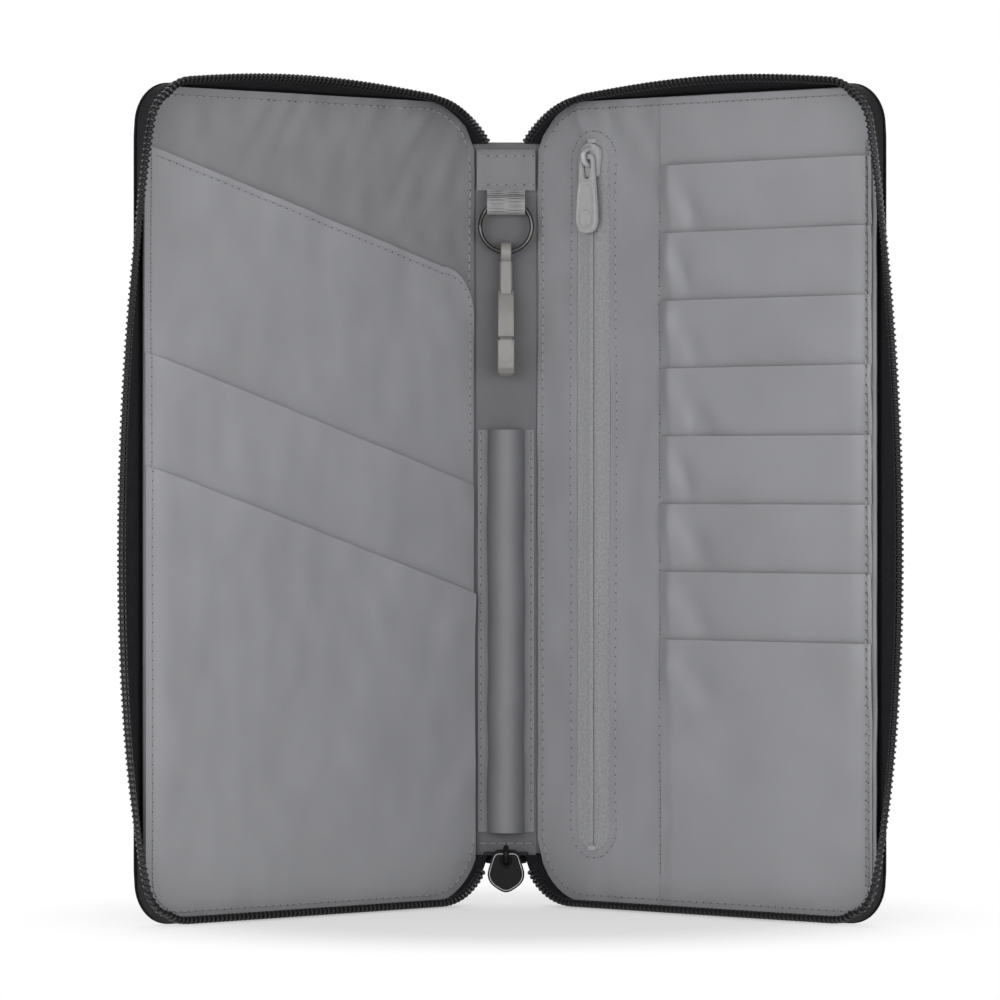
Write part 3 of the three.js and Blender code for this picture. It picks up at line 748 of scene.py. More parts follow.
def hinge_fold(side):
    line = [place(SPINE, side * x, 0, h) for x, h in ((8.2, -0.45), (9.4, -0.42))]
    line += [place(side, u, 0, h) for u, h in ((0.3, -0.42), (1.1, -0.42), (2.2, -0.45))]
    v = np.linspace(BOTTOM_DIP + 0.6, SPINE_TOP - 0.6, 90)
    front = np.array([[(x, y, z / 1000) for z in v] for x, y, _ in line])
    heap = Heap()
    grid_sheet(heap, front, front + FOLD_LIFT, grid_uv([0, 1.2, 2.2, 3.0, 4.1], v))
    # The fold takes the spine's cloth, painted darker as shade.
    heap.make_bending(f"{word_of_side[side]}_hinge_fold", spine_painted_shade_cloth, side, 9.4, 1.1)


hinge_fold(LEFT)
hinge_fold(RIGHT)

# %% [markdown]
# ## The left cover's pockets
# Three pockets are stacked on the left cover, and each one stands a little in front of the last.
# Their mouths gape by about a millimetre in the middle, which gives the dark line along each edge.

# %% Pockets
GAPE = 1.2


def gaping(base, mouth, seed, next_mouth=None):
    """A pocket's surface, whose mouth stands off a little and is pinched where its seam is."""
    cloth = soft_cloth(base, seed, 0.9, slant=0.3, shown_above=next_mouth)

    def surface(u, v):
        below = np.maximum(mouth(u) - v, 0)
        lip = GAPE * np.exp(-below / 9) * np.sin(math.pi * np.clip(u / COVER_WIDTH, 0, 1)) ** 0.5
        pinch = 1 - 0.6 * hill(u, COVER_WIDTH - POCKET_INSET, 5)
        return np.maximum(cloth(u, v) + lip, base - 0.15) * pinch

    return surface


POCKET_THICKNESS = 0.3


def pocket(node, mouth, surface, start_u):
    heap = Heap()
    near = start_u + (REAR_SHOULDER - start_u) * (1 - np.cos(np.linspace(0, math.pi / 2, 12)))
    us = np.concatenate([near[:-1], corner_columns(REAR_SHOULDER, POCKET_INSET)])
    panel(heap, LEFT, us, low_edge(us, POCKET_INSET), mouth(us), surface, POCKET_THICKNESS, 130)
    heap.make_for(node, f"{node}_cloth", lining, "left_cover", "lining")


rear_surface = gaping(0.75, rear_mouth, 61, middle_mouth)
middle_surface = gaping(1.45, middle_mouth, 72, front_mouth)
front_surface = gaping(2.15, front_mouth, 83)
pocket("document_pocket", rear_mouth, rear_surface, 1.6)
pocket("passport_pocket", middle_mouth, middle_surface, 2.0)
pocket("boarding_pass_pocket", front_mouth, front_surface, 2.0)

# %% [markdown]
# ## The card slots
# One strip is pleated into eight slots. Each front leans out towards its mouth, so the mouths
# overlap like roof tiles. A plain piece fills the strip above them. Near the seam beside the coin
# zip the cloth puckers, because the thickness of the folds is caught in the stitches. No two
# puckers are alike, so each slot draws its own swell and dent.

# %% Card slots
SLOT_LEFT, SLOT_RIGHT = 54.8, 142.8
SLOT_TOP, SLOT_PITCH, SLOTS = COVER_HEIGHT - 24, 22.1, 8
SLOT_OVERLAP = 8
SLOT_INSET = 1.7
heap = Heap()
slot_us = np.concatenate([dense(SLOT_LEFT, SLOT_LEFT + 14, 0.9)[:-1], dense(SLOT_LEFT + 14, SLOT_RIGHT, 2.4)])


def slot_surface(mouth, index):
    """A slot's front, highest at its mouth, with a swell and a dent by the seam."""
    reach = random.uniform(10, 19)
    swell_height, dent_depth = random.uniform(0.5, 1.4), random.uniform(0.7, 1.5)
    swell_down, dent_down = random.uniform(6, 11), random.uniform(13, 18)
    hollow_u = SLOT_LEFT + random.uniform(16, 30)

    def surface(u, v):
        down = np.maximum(mouth - v, 0)
        seam = np.clip((u - SLOT_LEFT) / 5, 0, 1)
        far_seam = np.clip((SLOT_RIGHT - u) / 6, 0, 1)
        rise = 2.9 - 1.9 * np.clip(down / (SLOT_PITCH + SLOT_OVERLAP), 0, 1)
        rise = rise * (0.4 + 0.6 * np.minimum(seam, far_seam))
        inward = (u - SLOT_LEFT) / reach
        dent = hill(inward, 0.75 + 0.02 * down, 0.3) * hill(down, dent_down, 6.5)
        swell = hill(inward, 0.3, 0.28) * hill(down, swell_down, 6)
        hollow = hill(down, 20, 4.5) * hill(u, hollow_u, 13)
        soft = 0.55 * ripples(u, v, 30, 12, 100 + index) * np.clip(down / 4, 0, 1)
        return np.maximum(rise + swell_height * swell - dent_depth * dent - 0.6 * hollow + soft, 0.45)

    return surface


def top_strip_surface(u, v):
    return 0.8 + 0.5 * ripples(u, v, 20, 12, 130)


for index in range(SLOTS):
    mouth = SLOT_TOP - index * SLOT_PITCH
    line = mouth + 0.5 * (slot_us - SLOT_LEFT) / (SLOT_RIGHT - SLOT_LEFT) * (1 if index < 4 else 0.2)
    last_slot_surface = slot_surface(mouth, index)
    low, rows = mouth - SLOT_PITCH - SLOT_OVERLAP, 24
    if index == SLOTS - 1:
        low, rows = low_edge(slot_us, SLOT_INSET), 70
    panel(heap, RIGHT, slot_us, low, line, last_slot_surface, POCKET_THICKNESS, rows)
panel(heap, RIGHT, slot_us, SLOT_TOP - SLOT_OVERLAP, high_edge(slot_us, SLOT_INSET), top_strip_surface,
      POCKET_THICKNESS, 36)
heap.make_for("card_slots", "card_slot_cloth", lining, "right_cover", "lining")

# %% [markdown]
# ## The main zip
# The zip tape is sewn in round the cover's edge. It stands up at the corners and leans out along
# the open side, because the edge is slack there. The coil that it carries is a nylon wire wound
# round a cord on the tape's edge, a turn a little under every two millimetres, so each turn is its
# own small loop, and two rows of thread hold it down. The leans are in degrees.

# %% Zip tape and coil
SIDE_LEAN, TOP_LEAN, BOTTOM_LEAN, SPINE_LEAN = 72, 21, 7, 15
LEAN_FADE, TOP_SHARE = 9, 0.78
TAPE_INSET = 0.55
TAPE_FOOT = -2.05
TAPE_WIDTH = 9.6
COIL_PITCH = 1.83
COIL_RADIUS, COIL_HEAD_RADIUS = 0.00047, 0.0006
TAPE_REACH, COIL_REACH = (0.6, 0.4), (3.4, 0.6)
RUN_STEP = 1.6


def lean_at(distance, side_start, side_end, total):
    """How far the tape leans out, from the spine's foot, along the open side, to the spine's top."""
    down = np.clip((side_end - distance) / (side_end - side_start), 0, 1)
    across = np.clip((distance - side_end) / (total - side_end), 0, 1)
    bottom = -BOTTOM_LEAN * np.minimum(1, np.maximum(side_start - distance, 0) / LEAN_FADE)
    side = SIDE_LEAN * np.maximum(0, np.sin(math.pi * down ** 1.2)) ** 0.6
    by_spine = -SPINE_LEAN * np.sin(0.85 * math.pi * (across - TOP_SHARE) / (1 - TOP_SHARE))
    top = np.where(across < TOP_SHARE, TOP_LEAN * np.sin(math.pi * across / TOP_SHARE), by_spine)
    return np.radians(np.where(distance < side_start, bottom, np.where(distance < side_end, side, top)))


def zip_run(bottom_reach, top_reach, step):
    """Places along the tape's seam: points, outward directions, lean and distance."""
    line = edge_line(TAPE_INSET, bottom_reach, top_reach)
    reached = lengths_along(line)
    side_start = (reached[ARC_STEPS] + reached[2 * ARC_STEPS - 1]) / 2
    side_end = (reached[2 * ARC_STEPS] + reached[3 * ARC_STEPS - 1]) / 2
    distances = np.arange(0, reached[-1], step)
    points, out = walk(line, distances)
    return points, out, lean_at(distances, side_start, side_end, reached[-1]), distances


def on_tape(side, points, out, lean, width, offset):
    """Places on the standing tape: width up from the seam, offset through its thickness."""
    spread = width * np.sin(lean) + offset * np.cos(lean)
    height = TAPE_FOOT + width * np.cos(lean) - offset * np.sin(lean)
    return place(side, points[:, 0] + spread * out[:, 0], points[:, 1] + spread * out[:, 1], height)


def zip_tape(side):
    *run, distances = zip_run(*TAPE_REACH, RUN_STEP)
    widths = np.linspace(0, TAPE_WIDTH, 9)
    wave = 0.15 * np.sin(distances / 17) + 0.09 * np.sin(distances / 7.3)
    front, back = (np.stack([on_tape(side, *run, w, half + wave * w / TAPE_WIDTH) for w in widths], 1)
                   for half in (0.3, -0.3))
    heap = Heap()
    grid_sheet(heap, front, back, grid_uv(distances, widths))
    word = word_of_side[side]
    heap.make_for(f"{word}_zip_tape", f"{word}_zip_tape_cloth", tape_cloth, body_of_side[side], "zip_tape")


def zip_coil(side):
    _, _, lean, distances = zip_run(*COIL_REACH, COIL_PITCH)
    bend = np.radians(np.linspace(-90, 90, 7))
    reach = np.concatenate([[8.7, 9.5], 10.0 + np.cos(bend), [9.5, 8.7]])
    through = np.concatenate([[-0.78, -0.8], 0.8 * np.sin(bend), [0.8, 0.78]])
    line = edge_line(TAPE_INSET, *COIL_REACH)
    slanted = [walk(line, distances + shift) for shift in np.linspace(-0.1, 0.1, len(reach))]
    loops = [on_tape(side, points, out, lean, w, t) for (points, out), w, t in zip(slanted, reach, through)]
    radius = np.full(len(reach), COIL_RADIUS)
    radius[len(reach) // 2] = COIL_HEAD_RADIUS
    heap = Heap()
    for turn in np.stack(loops, axis=1):
        tube(heap, turn, radius, 6)
    *run, _ = zip_run(*COIL_REACH, RUN_STEP)
    for width, offset, cord_radius in ((8.6, -0.62, 0.00032), (8.6, 0.62, 0.00032), (9.9, 0.0, 0.0008)):
        tube(heap, on_tape(side, *run, width, offset), cord_radius, 6)
    word = word_of_side[side]
    heap.make_for(f"{word}_zip_teeth", f"{word}_zip_coil", zip_nylon, body_of_side[side], "zip_teeth", 50)


for side in (LEFT, RIGHT):
    zip_tape(side)
    zip_coil(side)

# %% [markdown]
# ## The coin zip
# The coin pocket's zip is the reversed kind: its coil is behind, and the front shows two ribbed
# tapes that meet at a seam. Its slider and puller are painted the lining's grey.

# %% Coin zip tapes
def coin_tape_surface(u, v):
    side_by = np.abs(u - ZIP_U)
    ridges = 0.3 * hill(side_by, 1.4, 1.1) + 0.12 * hill(side_by, 4.1, 0.5)
    return -0.12 + ridges + 0.12 * ripples(u, v, 12, 25, 7)


def coin_tape(half, node):
    us = np.sort(ZIP_U + half * (0.2 + (ZIP_HALF - 0.33) * np.sin(np.linspace(0, math.pi / 2, 14))))
    span = np.sqrt(np.maximum((ZIP_HALF - 0.1) ** 2 - (us - ZIP_U) ** 2, 0))
    heap = Heap()
    low, high = ZIP_BOTTOM + ZIP_HALF - span, ZIP_TOP - ZIP_HALF + span
    panel(heap, RIGHT, us, low, high, coin_tape_surface, 0.35, 160)
    heap.make_for(node, f"{node}_cloth", coin_tape_cloth, "right_cover", "coin_zip_tape")


coin_tape(-1, "coin_zip_tape_inner")
coin_tape(1, "coin_zip_tape_outer")

# %% [markdown]
# ## Plates with soft edges
# Sliders, pullers and the key clip are cast or moulded, so no edge on them is sharp. Each starts
# from a flat outline, gets its thickness, and then a small bevel rounds its edges.

# %% Rounded plate helper
BEVEL_STEPS = 3


def plate_solid(outline, hole, thickness):
    """A flat outline, with or without a hole, drawn out to a thickness, as a bmesh."""
    work = bmesh.new()
    for loop in filter(None, (outline, hole)):
        corners = [work.verts.new((x, 0, z)) for x, z in loop]
        for a, b in zip(corners, corners[1:] + corners[:1]):
            work.edges.new((a, b))
    bmesh.ops.triangle_fill(work, edges=work.edges[:], use_beauty=True)
    drawn = bmesh.ops.extrude_face_region(work, geom=work.faces[:])
    moved = [item for item in drawn["geom"] if isinstance(item, bmesh.types.BMVert)]
    bmesh.ops.translate(work, verts=moved, vec=(0, thickness, 0))
    bmesh.ops.recalc_face_normals(work, faces=work.faces)
    return work


def soft_plate(name, work, to_world, finish, soft):
    """A plate's object: to_world puts its points on the wallet, and a small bevel rounds its edges."""
    material, body, slot_name = finish
    mesh = bpy.data.meshes.new(name)
    work.to_mesh(mesh)
    work.free()
    places = to_world(np.array([v.co for v in mesh.vertices]))
    mesh.vertices.foreach_set("co", places.ravel())
    mesh.materials.append(material)
    made = bpy.data.objects.new(name, mesh)
    scene.collection.objects.link(made)
    turn_outward(made)
    round_edges = made.modifiers.new("round", "BEVEL")
    round_edges.width = soft / 1000
    round_edges.segments = BEVEL_STEPS
    round_edges.angle_limit = math.radians(40)
    mesh.shade_smooth()
    mesh.set_sharp_from_angle(angle=math.radians(50))
    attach(made, body)
    print(name, len(mesh.polygons), "faces before its bevel")
    return made


def plate(name, finish, side, origin, outline, thickness, hole=None, soft=0.35):
    """A plate that lies along a panel: outline in u and v about an origin (u, v, h of its back face)."""
    u0, v0, h0 = origin

    def to_world(p):
        return place(side, u0 + p[:, 0], v0 + p[:, 2], h0 + p[:, 1])

    return soft_plate(name, plate_solid(outline, hole, thickness), to_world, finish, soft)


def disc(diameter, centre_z=0, steps=20):
    angles = np.linspace(0, 2 * math.pi, steps, endpoint=False)
    return [(diameter / 2 * math.cos(a), centre_z + diameter / 2 * math.sin(a)) for a in angles]


def smooth_outline(knots, steps=5):
    """A closed outline through knots, with a soft curve between them."""
    knots = np.array(knots, float)
    outline = []
    for p0, p1, p2, p3 in zip(*(np.roll(knots, 1 - k, axis=0) for k in range(4))):
        for t in np.linspace(0, 1, steps, endpoint=False):
            outline.append(tuple(0.5 * (2 * p1 + (p2 - p0) * t + (2 * p0 - 5 * p1 + 4 * p2 - p3) * t ** 2
                                        + (3 * p1 - p0 - 3 * p2 + p3) * t ** 3)))
    return outline


def both_sides(right):
    """Knots of a shape that is alike on both sides, from its right half in order."""
    return right + [(-x, z) for x, z in reversed(right) if x > 0]


print("helpers ready, a bevel has", BEVEL_STEPS, "steps")

# %% [markdown]
# ## Coin slider and puller
# The slider is a small grey shield with a bridge on it. The puller's bar runs through the bridge.
# The puller is a long tag with a raised rim and a plain round boss near its end.

# %% Coin slider and puller
coin_pivot = Vector(joints["coin_puller_lift"]["pos_m"])
COIN_V = coin_pivot.z * 1000
COIN_H = 3.1
TAG_BACK = COIN_H - 0.6
slider_finish = (grey_paint, "coin_slider", "coin_zip_metal")
puller_finish = (grey_paint, "coin_puller", "coin_zip_metal")
BRIDGE_RADIUS = 0.95

shield = smooth_outline(both_sides([(2.7, -6.3), (3.4, -3), (4.0, 1.0), (3.2, 3.5), (0, 4.6)]))
slider = plate("coin_slider_body", slider_finish, RIGHT, (ZIP_U, COIN_V, 0.25), shield, 1.6, soft=0.5)
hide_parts("coin_slider")


def bridge(name, finish, side, origin, rise, span):
    """An arched bar whose feet stand on the slider, about an origin (u, v, h)."""
    u, v, h = origin
    angle = np.linspace(0, math.pi, 13)
    heap = Heap()
    path = place(side, u, v + span * np.cos(angle), h + rise * np.sin(angle) ** 0.7)
    tube(heap, path, BRIDGE_RADIUS / 1000, 14)
    heap.make(name, *finish)


bridge("coin_slider_bridge", slider_finish, RIGHT, (ZIP_U, COIN_V + 0.1, 1.4), 3.8, 2.7)
tag = smooth_outline(both_sides([(0, 0.75), (2.6, 0.3), (3.3, -7), (4.2, -17), (4.2, -21.6), (2.8, -24.4),
                                 (0, -25.1)]))
tag_hole = smooth_outline(both_sides([(0, -0.7), (1.7, -0.9), (1.9, -3.5), (1.4, -6.6), (0, -7.2)]), 4)
puller = plate("coin_puller_tag", puller_finish, RIGHT, (ZIP_U, COIN_V, TAG_BACK), tag, 1.1,
               hole=tag_hole)
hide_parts("coin_puller")

on_tag = (ZIP_U, COIN_V, COIN_H + 0.4)
RIM_MIDDLE, BOSS_MIDDLE = -16.5, -20.2
rim = smooth_outline(both_sides([(0, -8), (3.1, -9), (4.1, -17), (4.1, -21.5), (2.7, -24.2), (0, -24.9)]), 6)
rim_inner = [(0.78 * x, RIM_MIDDLE + 0.87 * (z - RIM_MIDDLE)) for x, z in rim]
plate("coin_puller_rim", puller_finish, RIGHT, on_tag, rim, 0.5, hole=rim_inner, soft=0.15)
plate("coin_puller_boss", puller_finish, RIGHT, on_tag, disc(5.0, BOSS_MIDDLE, 28), 0.65, soft=0.15)

# %% [markdown]
# ## Main slider and puller
# The heavy slider is parked at the foot of the spine. Its puller is a black shield with a
# polished bevel, pointed at the tip.

# %% Main slider and puller
main_pivot = Vector(joints["main_puller_lift"]["pos_m"])
MAIN_V = main_pivot.z * 1000
MAIN_H = (spine_middle.y - main_pivot.y) * 1000
main_finish = (black_paint, "spine", "main_zip_metal")
slider_side = [(4.1, -4), (4.3, -1.2), (3.0, 1.0)]


def slider_plate(name, outline, thickness, back, soft=0.45):
    return plate(name, main_finish, SPINE, (0, MAIN_V, MAIN_H + back), outline, thickness, soft=soft)


front_outline = smooth_outline(both_sides([(3.4, -8.6)] + slider_side))
front_plate = slider_plate("main_slider_front", front_outline, 1.3, -2.6)
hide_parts("main_slider")
slider_plate("main_slider_back", smooth_outline(both_sides([(3.4, -7.2)] + slider_side)), 1.3, -6.8)
slider_plate("main_slider_post", both_sides([(2.4, -1.8), (2.4, 0.9)]), 3.2, -5.6, 0.3)
bridge("main_slider_bridge", main_finish, SPINE, (0, MAIN_V - 0.4, MAIN_H - 1.5), 3.1, 2.5)

shield = smooth_outline(both_sides([(0, 0.75), (3.7, 0.5), (5.2, -3), (6.1, -6.6), (5.2, -9.4), (2.6, -11.6),
                                    (0, -12.6)]))
shield_hole = smooth_outline(both_sides([(1.7, -0.8), (1.9, -3.0), (0, -4.6)]))
main_puller = plate("main_puller_shield", (black_paint, "main_puller", "main_zip_metal"), SPINE,
                    (0, MAIN_V, MAIN_H - 0.6), shield, 1.2, hole=shield_hole, soft=0.4)
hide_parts("main_puller")

SHIELD_MIDDLE = -6
LINE_SHARE, LINE_RADIUS, LINE_H = 0.9, 0.00016, 0.62
trace = np.array([(LINE_SHARE * x, SHIELD_MIDDLE + LINE_SHARE * (z - SHIELD_MIDDLE)) for x, z in shield])
heap = Heap()
line = place(SPINE, trace[:, 0], MAIN_V + trace[:, 1], MAIN_H + LINE_H)
tube(heap, line, LINE_RADIUS, 6, closed=True, across=(0, 1, 0))
heap.make("main_puller_bright_line", bare_edge, "main_puller", "main_zip_metal")

# %% [markdown]
# The zip's tape ends in a soft black tongue under the spine. It fills the space behind the slider.

# %% Zip end tongue
tongue_line = np.array([(2.7, 16.7), (3.8, 16.3), (4.9, 15.3), (5.5, 14.2), (5.8, 13.4)])
TONGUE_HALF = 7.6
SHEET_THICKNESS = 0.35
tongue_x = np.linspace(-TONGUE_HALF, TONGUE_HALF, 15)


def tongue_grid(offset):
    """The tongue narrows a little in each row and rises at its sides."""
    rise = 0.6 * (tongue_x / TONGUE_HALF) ** 2
    return np.array([place(SPINE, tongue_x * (1 - 0.03 * row), v + rise, h + offset)
                     for row, (h, v) in enumerate(tongue_line)])


heap = Heap()
grid_sheet(heap, tongue_grid(0.0), tongue_grid(-SHEET_THICKNESS), grid_uv(tongue_line[:, 1], tongue_x))
turn_outward(heap.make("zip_end_tongue", tape_cloth, "spine", "zip_tape"))

# %% [markdown]
# ## Key loop, ring and clip
# A short webbing loop sewn under the top band holds a split ring, and a moulded clip hangs from
# it edge-on.

# %% Key loop
LOOP_V, LOOP_H = 232.7, 4.6
LOOP_RADIUS = 3.0
WEBBING_HALF = 6.3


def normals(line):
    """Directions square to a flat line, at each of its points."""
    ahead = np.gradient(line, axis=0)
    ahead /= np.linalg.norm(ahead, axis=1, keepdims=True)
    return np.stack([-ahead[:, 1], ahead[:, 0]], -1)


turn = np.radians(np.linspace(108, -196, 40))
sewn_end = [(0.75, 249.5), (0.75, 243), (0.85, 238.5)]
bend = np.stack([LOOP_H + LOOP_RADIUS * np.cos(turn), LOOP_V + LOOP_RADIUS * np.sin(turn)], -1)
loop_line = np.concatenate([sewn_end, bend])
across_loop = np.linspace(-WEBBING_HALF, WEBBING_HALF, 22)


def loop_face(offset):
    line = loop_line + normals(loop_line) * offset
    return np.stack([place(SPINE, x, line[:, 1], line[:, 0]) for x in across_loop], 0)


heap = Heap()
grid_sheet(heap, loop_face(0.3), loop_face(-0.3), grid_uv(across_loop, lengths_along(loop_line)))
heap.make_for("key_loop", "key_loop_webbing", strap_cloth, "spine", "webbing")

# %% [markdown]
# The band over the webbing is a doubled strip of lining. Its top edge is rolled in, and it creases
# beside the webbing that it holds.

# %% Spine top band
BAND_TOP, BAND_BOTTOM = SPINE_TOP - 2.4, SPINE_TOP - 16.1
BAND_H = 1.95


def band_surface(u, v):
    crease = 0.35 * hill(np.abs(u), 6.6, 0.9)
    return BAND_H - 0.7 * np.exp(-(BAND_TOP - v) / 1.2) - crease + 0.2 * ripples(u, v, 8, 5, 91)


heap = Heap()
panel(heap, SPINE, dense(-9.7, 9.7, 0.8), BAND_BOTTOM, BAND_TOP, band_surface, 0.45, 30)
# Painted shade: the band's lining is painted darker for the spine's hollow.
heap.make_for("spine_top_band", "spine_top_band_cloth", band_painted_shade_cloth, "spine", "lining")

# %% [markdown]
# The ring is a wire of a millimetre and a half wound twice. Halfway along, it steps from the back
# turn to the front one, as a real split ring does.

# %% Split ring
clip_pivot = Vector(joints["key_clip_swing"]["pos_m"])
CLIP_V = clip_pivot.z * 1000
RING_RADIUS, WIRE_RADIUS = 8.6, 0.00072
RING_V = CLIP_V + RING_RADIUS
WIRE_STEPS, WIRE_LIFT = 180, 0.7
angle = math.radians(150) + np.linspace(0, 4 * math.pi, WIRE_STEPS)
half_way = angle[WIRE_STEPS // 2]
lift = np.interp(angle, [half_way - 0.5, half_way + 0.5], [-WIRE_LIFT, WIRE_LIFT])
ring_points = place(SPINE, RING_RADIUS * np.cos(angle), RING_V + RING_RADIUS * np.sin(angle), LOOP_H + lift)
heap = Heap()
tube(heap, ring_points, WIRE_RADIUS, 10, across=(0, 1, 0))
key_ring = heap.make("key_ring_wire", ring_metal, "key_ring", "ring_steel")
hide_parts("key_ring")

# %% [markdown]
# The clip is one moulding. From the front it shows only its edge: a thin eye at the top, a wider
# gate in the middle and a hook at the bottom. So its side outline gets its real curves, and each
# stretch its own width.

# %% Key clip
def clip_part(name, outline, width, hole=None, soft=0.4):
    """A plate seen from its edge: outline in h and v about the clip's pivot."""

    def to_world(p):
        return place(SPINE, p[:, 1] - width / 2, CLIP_V + p[:, 2], LOOP_H + p[:, 0])

    finish = (clip_nylon, "key_clip", "clip_plastic")
    return soft_plate(name, plate_solid(outline, hole, width), to_world, finish, soft)


def bar_outline(centre_line, thickness):
    line = np.array(centre_line, float)
    half = normals(line) * thickness / 2
    return [tuple(p) for p in np.concatenate([line + half, (line - half)[::-1]])]


eye = clip_part("key_clip_eye", disc(7.0, steps=28), 3.5, hole=disc(3.0))
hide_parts("key_clip")
HOOK_RADIUS = 4.95
hook_turn = np.radians(np.linspace(180, 360, 15))
hook_line = [(-2.1, -2.9), (-2.1, -12), (-2.1, -22), (-2.1, -30)]
hook_line += [(2.85 + HOOK_RADIUS * math.cos(a), -35.3 + HOOK_RADIUS * math.sin(a)) for a in hook_turn]
hook_line += [(7.8, -29.0)]
neck_line = [(0.2, -1.8), (1.0, -8), (1.6, -14.2)]
gate_line = [(0.2, -13.0), (3.2, -16), (4.4, -22), (5.0, -28.4)]
tip_line = [(5.6, -39.9), (7.6, -38.2), (8.0, -34), (7.8, -29.2)]
clip_part("key_clip_hook", bar_outline(hook_line, 2.7), 4.3, soft=0.5)
clip_part("key_clip_neck", bar_outline(neck_line, 2.4), 3.5, soft=0.5)
clip_part("key_clip_gate", bar_outline(gate_line, 1.7), 5.2)
clip_part("key_clip_tip", bar_outline(tip_line, 2.4), 5.5, soft=0.5)

# %% [markdown]
# ## Pen loop
# The pen loop is a strip of lining sewn down both sides of the spine, so it stands up as an arch.
# It is soft, and its crown waves a little along its length.

# %% Pen loop
PEN_BOTTOM, PEN_TOP = 24, 158
ARCH_HALF, ARCH_RISE, FLANGE_H = 6.1, 8.3, 0.55
arch = np.linspace(math.pi, 0, 27)
pen_rows = np.linspace(PEN_BOTTOM, PEN_TOP, 90)


def pen_grid(offset):
    """Rows across the pen loop: a flat edge, the arch and the other flat edge."""
    grid = []
    for v in pen_rows:
        sway = 0.45 * noise.noise(Vector((v / 22, 3.1, 0)))
        swell = 1 + 0.05 * noise.noise(Vector((v / 15, 8.2, 0)))
        crown = FLANGE_H + (ARCH_RISE * swell + offset) * np.sin(arch) ** 0.9
        flange = [FLANGE_H + offset / 2] * 2
        x = np.concatenate([[-9.4, -7.4], (ARCH_HALF * swell + offset) * np.cos(arch) + sway, [7.4, 9.4]])
        grid.append(place(SPINE, x, v, np.concatenate([flange, crown, flange])))
    return np.array(grid)


heap = Heap()
grid_sheet(heap, pen_grid(0.0), pen_grid(-SHEET_THICKNESS), grid_uv(pen_rows, np.linspace(-13, 13, 31)))
# Painted shade: the pen loop takes the band's darker cloth.
heap.make_for("pen_loop", "pen_loop_cloth", band_painted_shade_cloth, "spine", "lining")

# %% [markdown]
# ## Stitches
# Every seam shows a line of grey thread, one stitch every three millimetres. Each stitch is a short
# bowed bar whose ends sink into the cloth, and the needle leaves a dark hole between two stitches.
# Bars and holes are real geometry, because a bump would vanish from the side.

# %% Stitch rows
STITCH_PITCH, STITCH_LENGTH, THREAD_RADIUS = 3.0, 2.3, 0.0002
HOLE_RADIUS, HOLE_SIDES = 0.24, 6
bow = np.array([-0.15, 0.1, 0.14, 0.1, -0.15])
holes = {LEFT: Heap(), RIGHT: Heap(), SPINE: Heap()}


def needle_hole_at(side, u, v, h):
    spot = np.linspace(0, 2 * math.pi, HOLE_SIDES, endpoint=False)
    rim_u, rim_v = u + HOLE_RADIUS * np.cos(spot), v + HOLE_RADIUS * np.sin(spot)
    points = np.concatenate([place(side, rim_u, rim_v, h + 0.1), place(side, rim_u, rim_v, h - 0.2)])
    count = HOLE_SIDES
    walls = [(i, (i + 1) % count, (i + 1) % count + count, i + count) for i in range(count)]
    holes[side].add(points, walls + [tuple(range(count))[::-1], tuple(range(count, 2 * count))])


def stitch_row(heap, side, line, height):
    """Stitches along a line of (u, v), with height(u, v) giving the cloth's face."""
    line = np.asarray(line, float)
    reached = lengths_along(line)
    for start in np.arange(0.6, reached[-1] - STITCH_LENGTH, STITCH_PITCH):
        middle = start + (STITCH_LENGTH + STITCH_PITCH) / 2
        d = np.append(start + np.linspace(0, STITCH_LENGTH, len(bow)), middle)
        u, v = np.interp(d, reached, line[:, 0]), np.interp(d, reached, line[:, 1])
        h = height(u[:-1], v[:-1])
        tube(heap, place(side, u[:-1], v[:-1], h + bow), THREAD_RADIUS, 5)
        needle_hole_at(side, u[-1], v[-1], h[-1])


def level_at(height):
    return lambda u, v: np.full(np.shape(u), height)


print("a stitch every", STITCH_PITCH, "mm")

# %% [markdown]
# On the left cover the seam runs over the lining and every pocket, so its height is that of the
# topmost cloth at each place. A second row follows the rear pocket's hem and its round shoulder.

# %% Left cover's stitches
SEAM_INSET, INNER_SEAM_U = 4.0, 2.6
HEM_INSET, HEM_TURN = 2.3, 13.0
heap = Heap()


def left_top_height(u, v):
    h = left_surface(u, v)
    for surface, mouth in ((rear_surface, rear_mouth), (middle_surface, middle_mouth),
                           (front_surface, front_mouth)):
        h = np.where(v < mouth(u), surface(u, v), h)
    return h


outer_seam = edge_line(SEAM_INSET, 3.0, 3.0)
stitch_row(heap, LEFT, outer_seam, left_top_height)
hem_u = np.linspace(COVER_WIDTH - 5, REAR_SHOULDER, 60)
hem = np.stack([hem_u, rear_mouth(hem_u) - HEM_INSET], -1)
shoulder = arc((REAR_SHOULDER, REAR_INNER - HEM_INSET - HEM_TURN), HEM_TURN, 90, 180, 20)
stitch_row(heap, LEFT, np.concatenate([hem, shoulder, [(3.2, 150.0)]]), rear_surface)
inner_seam = np.stack([np.full(80, INNER_SEAM_U), np.linspace(250, 20, 80)], -1)
stitch_row(heap, LEFT, inner_seam[inner_seam[:, 1] > 200], left_surface)
heap.make("left_stitches", thread, "left_cover", "lining")

# %% [markdown]
# The right cover has its edge seam, a row round the coin zip's window, one on each side of the
# card slots and the two close rows that hold the coin zip's coil.

# %% Right cover's stitches
WINDOW_MARGIN = 2.6
heap = Heap()


def right_top_height(u, v):
    on_strip = (u > SLOT_LEFT) & (u < SLOT_RIGHT)
    strip = np.where(v > SLOT_TOP, top_strip_surface(u, v), last_slot_surface(u, v))
    return np.where(on_strip, strip, right_surface(u, v))


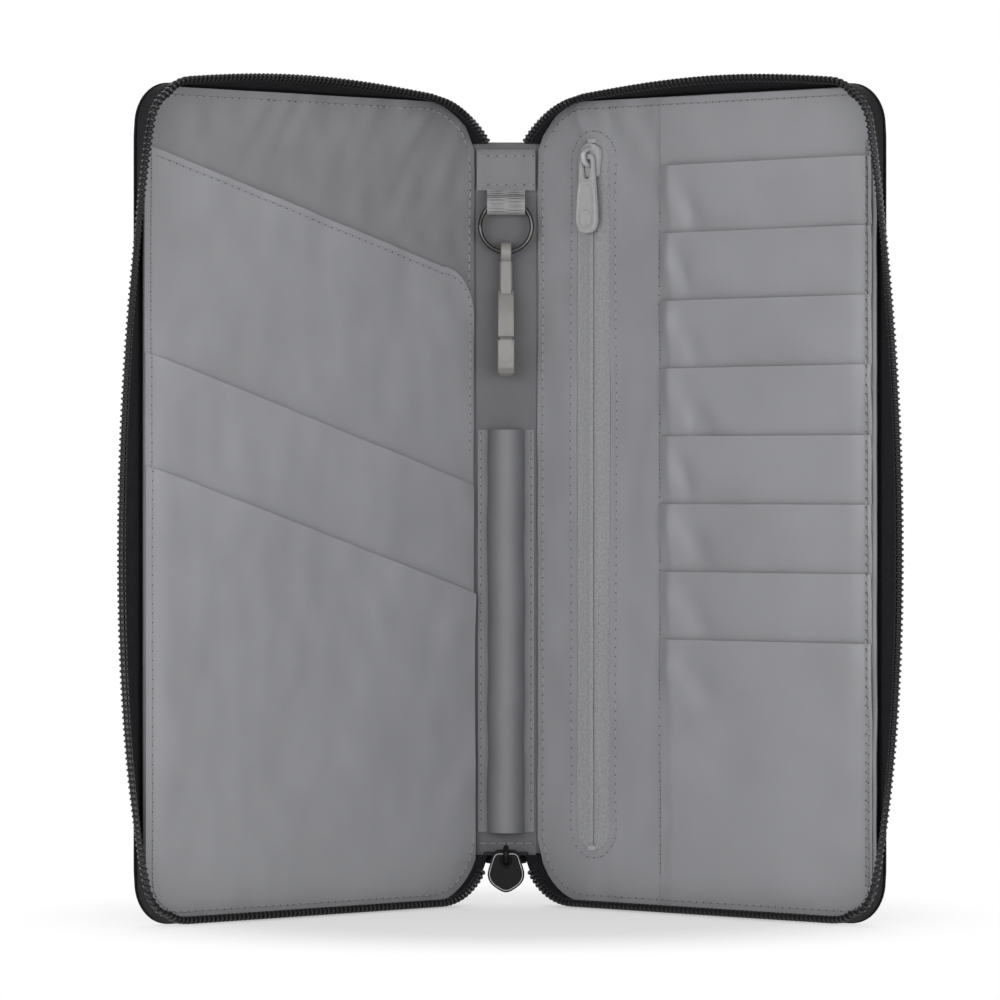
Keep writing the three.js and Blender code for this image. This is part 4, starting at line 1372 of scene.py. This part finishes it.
stitch_row(heap, RIGHT, outer_seam, right_top_height)
stitch_row(heap, RIGHT, inner_seam, right_surface)
radius = ZIP_HALF + WINDOW_MARGIN
window_row = np.concatenate([arc((ZIP_U, ZIP_TOP - ZIP_HALF), radius, 0, 180, 30),
                             arc((ZIP_U, ZIP_BOTTOM + ZIP_HALF), radius, 180, 360, 30),
                             [(ZIP_U + radius, ZIP_TOP - ZIP_HALF)]])
stitch_row(heap, RIGHT, window_row, right_surface)
for u, height in ((SLOT_LEFT - 0.9, right_surface), (SLOT_RIGHT - 1.4, level_at(1.9))):
    stitch_row(heap, RIGHT, [(u, 250.0), (u, 12.0)], height)
for u in (ZIP_U + 1.4, ZIP_U + 2.3):
    stitch_row(heap, RIGHT, [(u, ZIP_TOP - 4), (u, ZIP_BOTTOM + 4)], level_at(-0.1))
heap.make("right_stitches", thread, "right_cover", "lining")

# %% [markdown]
# On the spine the band, the foot and both edges of the pen loop are sewn down. The needle holes of
# all rows were gathered by body, and become one object for each.

# %% Spine's stitches and the needle holes
ROW_HALF, PEN_SEAM_U = 9.2, 8.4
heap = Heap()
for v, height in ((SPINE_TOP - 4.6, BAND_H), (SPINE_TOP - 14.2, BAND_H), (20.2, 0.05)):
    stitch_row(heap, SPINE, [(-ROW_HALF, v), (ROW_HALF, v)], level_at(height))
for x in (-PEN_SEAM_U, PEN_SEAM_U):
    stitch_row(heap, SPINE, [(x, PEN_BOTTOM + 1), (x, PEN_TOP - 1)], level_at(0.6))
heap.make("spine_stitches", thread, "spine", "lining")
for side in (LEFT, RIGHT, SPINE):
    holes[side].make(f"{word_of_side[side]}_needle_holes", needle_hole, body_of_side[side], "lining")

# %% [markdown]
# ## What stays as it was built
# The foam boards, the coin bag, its coil and its stops are right as solids, and most of them are
# hidden. They only need their finishes.

# %% Finishes on carried-over pieces
def dress(node, material):
    for entry in frame["nodes"][node].material_slots:
        entry.material = material
    print(node, "is", material.name)


for node in ("left_cover_foam", "right_cover_foam", "spine_foam"):
    dress(node, foam_grey)
dress("coin_pocket_bag", solid("bag_nylon", LINING_GREY, 0.5, grain=500))
dress("coin_zip_coil", grey_nylon)
for node in ("coin_zip_top_stop", "coin_zip_bottom_stop"):
    dress(node, grey_paint)
dress("zip_tail", solid("black_tape_tail", TAPE_BLACK, 0.85, grain=900, depth=0.1, spread=0.3))
